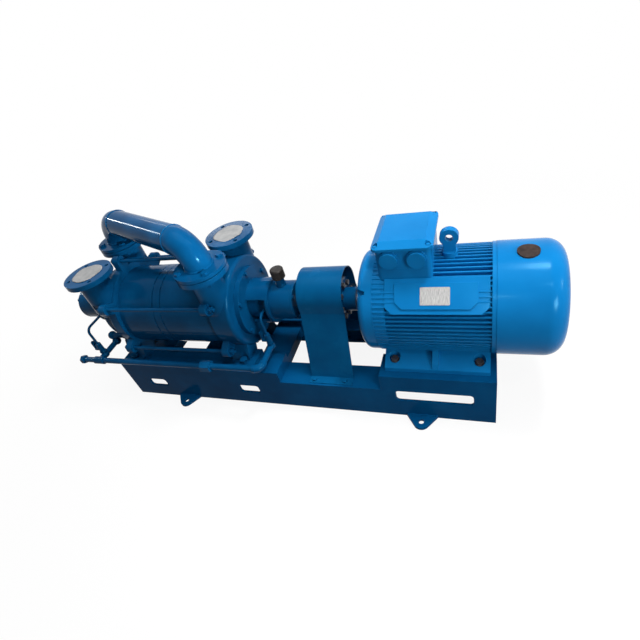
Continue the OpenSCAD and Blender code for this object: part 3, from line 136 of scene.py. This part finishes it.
petrolLook = {
    "main": (0.0009, 0.054, 0.152), "dark": (0.0007, 0.04, 0.115), "light": (0.0016, 0.072, 0.192),
    "shadeStops": (0.3, 0.52, 0.74), "rough": (0.09, 0.2), "roughStops": (0.3, 0.75),
    "specular": 0.05, "glossTint": (0.25, 0.8, 1.0), "bevel": 0.003,
    "patchScale": 6.0, "castScale": 70.0, "castDepth": 0.05, "castHeight": 0.0012,
    "peelScale": 260.0, "peelDepth": 0.02, "peelHeight": 0.0004,
}
baseLook = dict(petrolLook, main=(0.001, 0.06, 0.172), dark=(0.0008, 0.047, 0.138),
                light=(0.0018, 0.076, 0.21), specular=0.015, castDepth=0.04, patchScale=4.0, bevel=0.002)
motorLook = dict(petrolLook, main=(0.0035, 0.141, 0.375), dark=(0.0027, 0.122, 0.33),
                 light=(0.005, 0.162, 0.415), rough=(0.14, 0.26), patchScale=5.0, bevel=0.0022)
guardLook = dict(petrolLook, main=(0.0012, 0.07, 0.185), dark=(0.001, 0.056, 0.155),
                 light=(0.002, 0.088, 0.225), castDepth=0.04, rough=(0.22, 0.32), bevel=0.0015)

petrolEnamel = enamel("petrolEnamel", petrolLook)
baseEnamel = enamel("baseEnamel", baseLook)
motorEnamel = enamel("motorEnamel", motorLook)
guardEnamel = enamel("guardEnamel", guardLook)


# bare metals with turning marks or casting grain

def bareMetal(name, look):
    mat, tree, shader = startMaterial(name)
    vector = objectCoords(tree)
    mapping = addNode(tree, "ShaderNodeMapping")
    mapping.inputs["Scale"].default_value = look["grain"]
    tree.links.new(vector, mapping.inputs["Vector"])
    grain = noise(tree, mapping.outputs["Vector"], 1.0)
    stain = noise(tree, vector, look["stainScale"], 4.0)
    clean = ramp(tree, grain, look["grainStops"], (look["dark"], look["light"]))
    spots = greyRamp(tree, stain, look["stainStops"], (0.0, look["stainAmount"]))
    tree.links.new(mixColour(tree, spots, clean, look["stain"]), shader.inputs["Base Color"])
    tree.links.new(greyRamp(tree, grain, look["roughStops"], look["rough"]), shader.inputs["Roughness"])
    shader.inputs["Metallic"].default_value = look["metallic"]
    heights = [(grain, look["grainDepth"], look["grainHeight"])]
    tree.links.new(bumpChain(tree, heights, look["bevel"]), shader.inputs["Normal"])
    return mat


steelLook = {
    "dark": (0.42, 0.43, 0.45), "light": (0.66, 0.67, 0.69), "grain": (900.0, 40.0, 40.0),
    "grainStops": (0.3, 0.7), "grainDepth": 0.1, "grainHeight": 0.0005,
    "stain": (0.2, 0.13, 0.08), "stainAmount": 0.5, "stainScale": 18.0, "stainStops": (0.5, 0.78),
    "rough": (0.22, 0.42), "roughStops": (0.25, 0.8), "metallic": 1.0, "bevel": 0.0008,
}
blackSteelLook = dict(steelLook, dark=(0.03, 0.03, 0.034), light=(0.09, 0.09, 0.1), grain=(90.0, 90.0, 90.0),
                      rough=(0.35, 0.55), metallic=0.6, stain=(0.03, 0.026, 0.024))
castLook = dict(steelLook, dark=(0.13, 0.13, 0.135), light=(0.25, 0.25, 0.26), grain=(160.0, 160.0, 160.0),
                rough=(0.45, 0.65), metallic=0.85, grainDepth=0.35)
bronzeLook = dict(castLook, dark=(0.42, 0.26, 0.1), light=(0.62, 0.42, 0.19), stain=(0.1, 0.14, 0.09),
                  rough=(0.3, 0.5), metallic=1.0)
alloyLook = dict(castLook, dark=(0.5, 0.51, 0.52), light=(0.68, 0.69, 0.7), rough=(0.35, 0.5), metallic=1.0)
plateLook = dict(steelLook, dark=(0.2, 0.2, 0.2), light=(0.42, 0.42, 0.41), stain=(0.22, 0.2, 0.18),
                 grain=(700.0, 60.0, 60.0), rough=(0.5, 0.7), metallic=0.1, bevel=0.0)

turnedSteel = bareMetal("turnedSteel", steelLook)
blackSteel = bareMetal("blackSteel", blackSteelLook)
castIron = bareMetal("castIron", castLook)
castBronze = bareMetal("castBronze", bronzeLook)
castAlloy = bareMetal("castAlloy", alloyLook)
plateMetal = bareMetal("plateMetal", plateLook)


# rubber, plastic, packing and paper

def dullCoat(name, look):
    mat, tree, shader = startMaterial(name)
    vector = objectCoords(tree)
    patch = noise(tree, vector, look["patchScale"], 4.0)
    fine = noise(tree, vector, look["fineScale"], 2.0)
    shades = ramp(tree, patch, look["shadeStops"], (look["dark"], look["light"]))
    tree.links.new(shades, shader.inputs["Base Color"])
    tree.links.new(greyRamp(tree, fine, look["roughStops"], look["rough"]), shader.inputs["Roughness"])
    shader.inputs["Specular IOR Level"].default_value = look["specular"]
    heights = [(fine, look["fineDepth"], look["fineHeight"])]
    tree.links.new(bumpChain(tree, heights, look["bevel"]), shader.inputs["Normal"])
    return mat


rubberLook = {
    "dark": (0.012, 0.012, 0.012), "light": (0.03, 0.03, 0.03), "shadeStops": (0.32, 0.7),
    "patchScale": 40.0, "fineScale": 500.0, "fineDepth": 0.2, "fineHeight": 0.0006,
    "rough": (0.6, 0.85), "roughStops": (0.3, 0.75), "specular": 0.3, "bevel": 0.0006,
}
blackCapLook = dict(rubberLook, dark=(0.01, 0.009, 0.009), light=(0.024, 0.02, 0.018), rough=(0.3, 0.5),
                    specular=0.15)
brownPlugLook = dict(rubberLook, dark=(0.018, 0.013, 0.012), light=(0.042, 0.029, 0.025), patchScale=60.0,
                     rough=(0.45, 0.7), specular=0.06)
packingLook = dict(rubberLook, dark=(0.3, 0.25, 0.16), light=(0.5, 0.43, 0.3), fineScale=350.0,
                   rough=(0.7, 0.9), fineDepth=0.6)
paperLook = dict(rubberLook, dark=(0.23, 0.237, 0.24), light=(0.32, 0.32, 0.32), patchScale=30.0,
                 fineScale=220.0, rough=(0.75, 0.9), specular=0.2, fineDepth=0.5, bevel=0.0)

blackRubber = dullCoat("blackRubber", rubberLook)
blackCap = dullCoat("blackCap", blackCapLook)
brownPlug = dullCoat("brownPlug", brownPlugLook)
braidedPacking = dullCoat("braidedPacking", packingLook)
paper = dullCoat("paper", paperLook)
print("materials ready")


# each solid gets its finish
finishes = {
    "near_side_channel": baseEnamel, "far_side_channel": baseEnamel, "cross_channels": baseEnamel,
    "end_plates": baseEnamel, "anchor_lugs": baseEnamel,
    "motor_frame": motorEnamel, "drive_shield": motorEnamel, "rear_shield": motorEnamel,
    "fan_cowl": motorEnamel, "cowl_plug": brownPlug, "terminal_box": motorEnamel,
    "terminal_cover": motorEnamel, "terminal_screws": motorEnamel, "gland_plugs": motorEnamel,
    "lifting_eye": motorEnamel, "motor_foot_bolts": blackSteel,
    "stator_core": castIron, "motor_bearings": turnedSteel, "motor_shaft": turnedSteel,
    "rotor_core": castIron, "cooling_fan": castAlloy,
    "motor_coupling_half": petrolEnamel, "coupling_pins": blackSteel, "coupling_bushes": blackRubber,
    "pump_coupling_half": petrolEnamel, "coupling_guard": guardEnamel, "guard_bolts": guardEnamel,
    "pump_shaft": turnedSteel, "shaft_sleeves": turnedSteel, "pump_bearings": turnedSteel,
    "first_impeller": castBronze, "second_impeller": castBronze,
    "drive_end_cover": petrolEnamel, "first_port_plate": petrolEnamel, "first_cylinder": petrolEnamel,
    "middle_plate": petrolEnamel, "second_cylinder": petrolEnamel, "second_port_plate": petrolEnamel,
    "rear_end_cover": petrolEnamel, "tie_rods": petrolEnamel, "tie_rod_nuts": petrolEnamel,
    "pump_foot_bolts": petrolEnamel, "machine_bolts": petrolEnamel,
    "packing_rings": braidedPacking, "glands": petrolEnamel, "gland_studs": turnedSteel,
    "drive_bracket": petrolEnamel, "rear_bracket": petrolEnamel, "bearing_covers": petrolEnamel,
    "grease_cups": petrolEnamel, "drive_cup_cap": blackCap, "rear_cup_cap": blackCap,
    "crossover_pipe": petrolEnamel, "crossover_gaskets": blackRubber, "crossover_bolts": petrolEnamel,
    "water_header": petrolEnamel, "sealing_cocks": petrolEnamel, "sealing_tubes": petrolEnamel,
    "drive_cock_handle": petrolEnamel, "rear_cock_handle": petrolEnamel,
}
for nodeName, finish in finishes.items():
    solid = nodes[nodeName]
    solid.data.materials.clear()
    solid.data.materials.append(finish)
print("finishes set on", len(finishes), "solids")


# meshes made here ride on the fixed base

def finishPiece(name, mesh, finish, smooth=True):
    bmesh.ops.recalc_face_normals(mesh, faces=mesh.faces)
    for face in mesh.faces:
        face.smooth = smooth
    data = bpy.data.meshes.new(name)
    mesh.to_mesh(data)
    mesh.free()
    piece = bpy.data.objects.new(name, data)
    scene.collection.objects.link(piece)
    data.materials.append(finish)
    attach(piece, "base")


def closeTube(mesh, loops, ring):
    count = len(loops)
    sides = len(loops[0])
    for i in range(count if ring else count - 1):
        a, b = loops[i], loops[(i + 1) % count]
        for j in range(sides):
            mesh.faces.new((a[j], a[(j + 1) % sides], b[(j + 1) % sides], b[j]))
    if not ring:
        mesh.faces.new(loops[0])
        mesh.faces.new(list(reversed(loops[-1])))


# flange centres: the drive cover's pair, then the rear cover's, on both sides of the shaft
portLook = {"driveX": -0.2205, "rearX": -0.8155, "side": 0.128}


# rippled weld beads round the pipe joints and along the base

def ringBead(mesh, look, centre, along):
    along = Vector(along).normalized()
    side = along.orthogonal().normalized()
    other = along.cross(side)
    rand = random.Random(look["seed"])
    steps, sides = look["steps"], look["sides"]
    loops = []
    for i in range(steps):
        angle = 2 * math.pi * i / steps
        out = side * math.cos(angle) + other * math.sin(angle)
        ripple = look["ripple"] * abs(math.sin(look["ripples"] * angle / 2))
        swell = look["bead"] * (look["even"] + ripple + rand.uniform(-look["jitter"], look["jitter"]))
        drift = rand.uniform(-look["drift"], look["drift"])
        loop = []
        for j in range(sides):
            turn = 2 * math.pi * j / sides
            place = out * (look["radius"] + look["flat"] * swell * math.cos(turn))
            place += along * (swell * math.sin(turn) + drift)
            loop.append(mesh.verts.new(Vector(centre) + place))
        loops.append(loop)
    closeTube(mesh, loops, True)


def lineBead(mesh, look, start, end, seed):
    start, end = Vector(start), Vector(end)
    along = (end - start).normalized()
    side = along.orthogonal().normalized()
    other = along.cross(side)
    rand = random.Random(seed)
    length = (end - start).length
    sides = look["sides"]
    steps = int(length / look["step"])
    turns = [2 * math.pi * j / sides for j in range(sides)]
    loops = []
    for i in range(steps + 1):
        taper = min(1.0, look["tip"] + look["tipGrowth"] * min(i, steps - i) / look["tipSteps"])
        ripple = look["ripple"] * abs(math.sin(i * look["rippleTurn"]))
        swell = look["bead"] * taper * (look["even"] + ripple + rand.uniform(-look["jitter"], look["jitter"]))
        centre = start + along * (length * i / steps)
        loops.append([mesh.verts.new(centre + swell * (side * math.cos(turn) + other * math.sin(turn)))
                      for turn in turns])
    closeTube(mesh, loops, False)


pipeBeadLook = {
    "radius": 0.0572, "bend": 0.097, "flange": 0.014, "lift": 0.003, "bead": 0.005, "flat": 0.55,
    "even": 0.85, "ripple": 0.22, "ripples": 90, "jitter": 0.05, "drift": 0.0004,
    "steps": 180, "sides": 8, "seed": 4,
}


def makePipeBeads():
    mesh = bmesh.new()
    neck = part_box("crossover_pipe")[0][2] + pipeBeadLook["flange"]
    bend = pipeBeadLook["bend"]
    near = Vector((portLook["driveX"], -portLook["side"], neck))
    far = Vector((portLook["rearX"], portLook["side"], neck))
    run = (far - near).normalized()
    for foot, inward in ((near, run), (far, -run)):
        ringBead(mesh, pipeBeadLook, foot + Vector((0, 0, pipeBeadLook["lift"])), (0, 0, 1))
        ringBead(mesh, pipeBeadLook, foot + inward * bend + Vector((0, 0, bend)), run)
    finishPiece("pipeBeads", mesh, petrolEnamel)


makePipeBeads()

baseBeadLook = {
    "places": (-0.57, 0.57), "halfLength": 0.06, "bead": 0.004, "step": 0.004,
    "even": 0.85, "ripple": 0.25, "rippleTurn": 0.9, "jitter": 0.08,
    "tip": 0.45, "tipGrowth": 0.6, "tipSteps": 3, "sides": 8, "seed": 20,
}


def makeBaseBeads():
    mesh = bmesh.new()
    web = -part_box("near_side_channel")[0][1]
    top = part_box("anchor_lugs")[1][2]
    half = baseBeadLook["halfLength"]
    seed = baseBeadLook["seed"]
    for side in (-1, 1):
        for x in baseBeadLook["places"]:
            lineBead(mesh, baseBeadLook, (x - half, side * web, top), (x + half, side * web, top), seed)
            seed += 1
    finishPiece("baseBeads", mesh, baseEnamel)


makeBaseBeads()


# paper discs laid over the two open ports, frayed along one side
paperDiscLook = {
    "radius": 0.066, "thickness": 0.0005, "gap": 0.0002, "rings": 12, "spokes": 120,
    "fray": 0.007, "wobble": 0.0009, "wobbles": 5, "phaseSpan": 6.28, "curl": 0.002, "crease": 0.0003,
}


def makePaperDisc(name, x, y, cover, frayedAt, seed):
    look = paperDiscLook
    rand = random.Random(seed)
    mesh = bmesh.new()
    centre = Vector((x, y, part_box(cover)[1][2] + look["gap"]))
    rings, spokes = look["rings"], look["spokes"]
    angles = [2 * math.pi * j / spokes for j in range(spokes)]
    wave = [rand.uniform(0, look["phaseSpan"]) for _ in range(look["wobbles"])]
    rim = []
    for angle in angles:
        frayed = max(0.0, math.cos(angle - frayedAt)) ** 3
        wobble = sum(math.sin((k + 2) * angle + phase) for k, phase in enumerate(wave)) * look["wobble"]
        rim.append(look["radius"] + wobble - frayed * look["fray"] * rand.uniform(0.0, 1.0))
    edges = []
    for lift in (0.0, look["thickness"]):
        hub = mesh.verts.new(centre + Vector((0, 0, lift)))
        layer = []
        for i in range(1, rings + 1):
            t = i / rings
            loop = []
            for angle, reach in zip(angles, rim):
                rise = look["curl"] * t ** 6 * (0.5 + 0.5 * math.sin(3 * angle + wave[0]))
                crease = look["crease"] * t * (1 + math.sin(7 * angle + 9 * t + wave[1]))
                flat = Vector((math.cos(angle), math.sin(angle), 0)) * reach * t
                loop.append(mesh.verts.new(centre + flat + Vector((0, 0, lift + rise + crease))))
            layer.append(loop)
        for j in range(spokes):
            mesh.faces.new((hub, layer[0][j], layer[0][(j + 1) % spokes]))
        for inner, outer in zip(layer, layer[1:]):
            for j in range(spokes):
                n = (j + 1) % spokes
                mesh.faces.new((inner[j], outer[j], outer[n], inner[n]))
        edges.append(layer[-1])
    low, high = edges
    for j in range(spokes):
        n = (j + 1) % spokes
        mesh.faces.new((low[j], low[n], high[n], high[j]))
    finishPiece(name, mesh, paper)


makePaperDisc("drivePortPaper", portLook["driveX"], portLook["side"], "drive_end_cover", -0.4, 11)
makePaperDisc("rearPortPaper", portLook["rearX"], -portLook["side"], "rear_end_cover", -0.3, 23)


# bare plate riveted on the motor's tilted pad, placed from the shaft's centre line
namePlateLook = {
    "x": 0.65, "shaftHeight": 0.435, "out": 0.198, "tilt": 41.0,
    "length": 0.097, "height": 0.06, "thick": 0.0012, "corner": 0.004, "cornerSteps": 6,
    "edgeStart": 0.7, "edgeShrink": 0.994,
    "rivet": 0.0022, "rivetInset": 0.006, "rivetSink": 0.0002, "rivetCrown": 0.7,
    "rivetRings": 5, "rivetSides": 16,
}


def makeNamePlate():
    look = namePlateLook
    tilt = math.radians(look["tilt"])
    normal = Vector((0, -math.cos(tilt), math.sin(tilt)))
    upward = Vector((0, math.sin(tilt), math.cos(tilt)))
    across = Vector((1, 0, 0))
    origin = Vector((look["x"], 0, look["shaftHeight"])) + normal * look["out"]
    mesh = bmesh.new()
    halfL, halfH, corner, thick = look["length"] / 2, look["height"] / 2, look["corner"], look["thick"]
    cornerTurn = 90 / look["cornerSteps"]
    outline = []
    for sx, sy, start in ((1, 1, 0), (-1, 1, 90), (-1, -1, 180), (1, -1, 270)):
        for k in range(look["cornerSteps"] + 1):
            angle = math.radians(start + cornerTurn * k)
            outline.append((sx * (halfL - corner) + corner * math.cos(angle),
                            sy * (halfH - corner) + corner * math.sin(angle)))
    loops = []
    for lift, shrink in ((0.0, 1.0), (thick * look["edgeStart"], 1.0), (thick, look["edgeShrink"])):
        loops.append([mesh.verts.new(origin + across * (u * shrink) + upward * (v * shrink) + normal * lift)
                      for u, v in outline])
    closeTube(mesh, loops, False)
    rivet, inset = look["rivet"], look["rivetInset"]
    turns = [2 * math.pi * j / look["rivetSides"] for j in range(look["rivetSides"])]
    spokes = [across * math.cos(turn) + upward * math.sin(turn) for turn in turns]
    for sx in (-1, 1):
        for sy in (-1, 1):
            foot = origin + across * (sx * (halfL - inset)) + upward * (sy * (halfH - inset))
            foot += normal * (thick - look["rivetSink"])
            rings = []
            for k in range(look["rivetRings"]):
                rise = math.radians(90 / look["rivetRings"] * k)
                wide, tall = rivet * math.cos(rise), look["rivetCrown"] * rivet * math.sin(rise)
                rings.append([mesh.verts.new(foot + spoke * wide + normal * tall) for spoke in spokes])
            closeTube(mesh, rings, False)
    finishPiece("namePlate", mesh, plateMetal, smooth=False)


makeNamePlate()
print("beads, papers and name plate made")


# the floor and the plain white surround
stageLook = {
    "floorSize": 60.0, "floorDrop": 0.0005, "floorColour": (0.84, 0.84, 0.84),
    "bounceColour": (0.12, 0.12, 0.12), "glow": 0.9, "fadeFrom": 1.0, "fadeTo": 2.4,
    "ambient": 0.06, "ambientColour": (0.95, 0.97, 1.0), "white": (1.0, 1.0, 1.0, 1.0),
}


def seenDirectly(tree):
    path = addNode(tree, "ShaderNodeLightPath")
    seen = addNode(tree, "ShaderNodeMath", operation="MAXIMUM")
    tree.links.new(path.outputs["Is Camera Ray"], seen.inputs[0])
    tree.links.new(path.outputs["Is Glossy Ray"], seen.inputs[1])
    either = addNode(tree, "ShaderNodeMath", operation="MAXIMUM")
    tree.links.new(seen.outputs[0], either.inputs[0])
    tree.links.new(path.outputs["Is Transmission Ray"], either.inputs[1])
    return either.outputs[0]


def makeFloor():
    bpy.ops.mesh.primitive_plane_add(size=stageLook["floorSize"], location=(0, 0, -stageLook["floorDrop"]))
    floor = bpy.context.object
    floor.name = "studioFloor"
    mat = bpy.data.materials.new("studioFloor")
    mat.use_nodes = True
    tree = mat.node_tree
    tree.nodes.clear()
    out = addNode(tree, "ShaderNodeOutputMaterial")
    seen = seenDirectly(tree)
    lit = addNode(tree, "ShaderNodeBsdfDiffuse")
    tint = mixColour(tree, seen, stageLook["bounceColour"], stageLook["floorColour"])
    tree.links.new(tint, lit.inputs["Color"])
    glow = addNode(tree, "ShaderNodeEmission")
    glow.inputs["Color"].default_value = stageLook["white"]
    far = addNode(tree, "ShaderNodeVectorMath", operation="LENGTH")
    tree.links.new(objectCoords(tree), far.inputs[0])
    fade = addNode(tree, "ShaderNodeMapRange")  # the floor turns fully white away from the part
    fade.inputs["From Min"].default_value = stageLook["fadeFrom"]
    fade.inputs["From Max"].default_value = stageLook["fadeTo"]
    fade.inputs["To Min"].default_value = stageLook["glow"]
    fade.inputs["To Max"].default_value = 1.0
    tree.links.new(far.outputs["Value"], fade.inputs["Value"])
    share = addNode(tree, "ShaderNodeMath", operation="MULTIPLY")
    tree.links.new(seen, share.inputs[0])
    tree.links.new(fade.outputs["Result"], share.inputs[1])
    mix = addNode(tree, "ShaderNodeMixShader")
    tree.links.new(share.outputs[0], mix.inputs[0])
    tree.links.new(lit.outputs[0], mix.inputs[1])
    tree.links.new(glow.outputs[0], mix.inputs[2])
    tree.links.new(mix.outputs[0], out.inputs["Surface"])
    floor.data.materials.append(mat)


def makeSurround():
    world = bpy.data.worlds.new("studioWorld")
    scene.world = world
    world.use_nodes = True
    tree = world.node_tree
    tree.nodes.clear()
    out = addNode(tree, "ShaderNodeOutputWorld")
    lit = addNode(tree, "ShaderNodeBackground")
    lit.inputs["Color"].default_value = (*stageLook["ambientColour"], 1.0)
    lit.inputs["Strength"].default_value = stageLook["ambient"]
    white = addNode(tree, "ShaderNodeBackground")
    white.inputs["Color"].default_value = stageLook["white"]
    mix = addNode(tree, "ShaderNodeMixShader")
    tree.links.new(seenDirectly(tree), mix.inputs[0])
    tree.links.new(lit.outputs[0], mix.inputs[1])
    tree.links.new(white.outputs[0], mix.inputs[2])
    tree.links.new(mix.outputs[0], out.inputs["Surface"])


makeFloor()
makeSurround()

# broad soft lamps, thin bright strips that show in the gloss, and a card that only the gloss sees
lampLooks = [
    {"name": "keyLamp", "at": (1.3, 0.35, 3.0), "aim": (0.0, 0.0, 0.5),
     "along": (0, 1, 0), "size": (0.5, 0.36), "power": 62.0},
    {"name": "overheadLamp", "at": (0.1, -0.1, 3.2), "aim": (0.0, 0.0, 0.4),
     "along": (1, 0, 0), "size": (2.6, 1.8), "power": 54.0},
    {"name": "windowStrip", "at": (-1.4, 3.2, 2.1), "aim": (-0.2, 0.0, 0.6),
     "along": (1, 0.4, 0), "size": (3.6, 0.14), "power": 14.0},
    {"name": "leftStrip", "at": (-3.67, 0.38, 2.24), "aim": (-0.5, 0.0, 0.8),
     "along": (-0.257, 0.621, -0.739), "size": (0.9, 0.05), "power": 28.0},
    {"name": "rightLamp", "at": (2.9, -0.2, 1.4), "aim": (0.0, 0.0, 0.6),
     "along": (0, 1, 0), "size": (0.34, 0.28), "power": 24.0},
    {"name": "doorLamp", "at": (2.3, -1.78, 1.16), "aim": (0.0, 0.0, 0.6),
     "along": (0, 1, 0), "size": (0.5, 0.7), "power": 30.0},
    {"name": "glossCard", "at": (2.3, -1.78, 1.3), "aim": (-0.18, -0.16, 0.76),
     "along": (1, 1, 0), "size": (0.9, 0.7), "power": 90.0, "glossOnly": True},
    {"name": "glintLamp", "at": (1.6, -1.3, 2.9), "aim": (0.2, 0.0, 0.5),
     "along": (1, 0, 0), "size": (0.6, 0.06), "power": 14.0},
    {"name": "frontLamp", "at": (0.86, -1.4, 1.62), "aim": (0.6, 0.0, 0.5),
     "along": (1, 0, 0), "size": (0.1, 0.06), "power": 3.0},
]


def makeLamp(look):
    data = bpy.data.lights.new(look["name"], "AREA")
    data.shape = "RECTANGLE"
    data.size, data.size_y = look["size"]
    data.energy = look["power"]
    lamp = bpy.data.objects.new(look["name"], data)
    scene.collection.objects.link(lamp)
    back = (Vector(look["at"]) - Vector(look["aim"])).normalized()
    along = Vector(look["along"])
    along = (along - along.dot(back) * back).normalized()
    turn = Matrix((along, back.cross(along), back)).transposed()
    lamp.matrix_world = Matrix.Translation(Vector(look["at"])) @ turn.to_4x4()
    if look.get("glossOnly"):
        lamp.visible_diffuse = False


for lampLook in lampLooks:
    makeLamp(lampLook)

# one narrow spot picks out the near elbow of the crossover
elbowSpotLook = {"at": (2.3, -1.78, 1.3), "aim": (-0.17, -0.15, 0.79), "cone": 6.5, "blend": 1.0,
                 "radius": 0.12, "power": 760.0}


def makeElbowSpot():
    data = bpy.data.lights.new("elbowSpot", "SPOT")
    data.energy = elbowSpotLook["power"]
    data.spot_size = math.radians(elbowSpotLook["cone"])
    data.spot_blend = elbowSpotLook["blend"]
    data.shadow_soft_size = elbowSpotLook["radius"]
    spot = bpy.data.objects.new("elbowSpot", data)
    scene.collection.objects.link(spot)
    spot.location = elbowSpotLook["at"]
    reach = Vector(elbowSpotLook["aim"]) - Vector(elbowSpotLook["at"])
    spot.rotation_euler = reach.to_track_quat("-Z", "Y").to_euler()


makeElbowSpot()
print("stage and lamps ready")


# camera at the photograph's viewing angle, with its slight roll
cameraLook = {"at": (0.81066, -1.2735, 1.48605), "yaw": 27.82, "pitch": 39.06, "roll": -17.88,
              "lens": 24.149, "sensor": 36.0}


def makeCamera():
    yaw, pitch, roll = (math.radians(cameraLook[k]) for k in ("yaw", "pitch", "roll"))
    level = math.cos(pitch)
    forward = Vector((-math.sin(yaw) * level, math.cos(yaw) * level, -math.sin(pitch)))
    right = Vector((math.cos(yaw), math.sin(yaw), 0.0))
    up = right.cross(forward)
    rolledRight = right * math.cos(roll) + up * math.sin(roll)
    rolledUp = up * math.cos(roll) - right * math.sin(roll)
    turn = Matrix((rolledRight, rolledUp, -forward)).transposed()
    data = bpy.data.cameras.new("photoCamera")
    data.sensor_fit = "HORIZONTAL"
    data.sensor_width = cameraLook["sensor"]
    data.lens = cameraLook["lens"]
    camera = bpy.data.objects.new("photoCamera", data)
    scene.collection.objects.link(camera)
    camera.matrix_world = Matrix.Translation(Vector(cameraLook["at"])) @ turn.to_4x4()
    scene.camera = camera


makeCamera()
print("camera set")
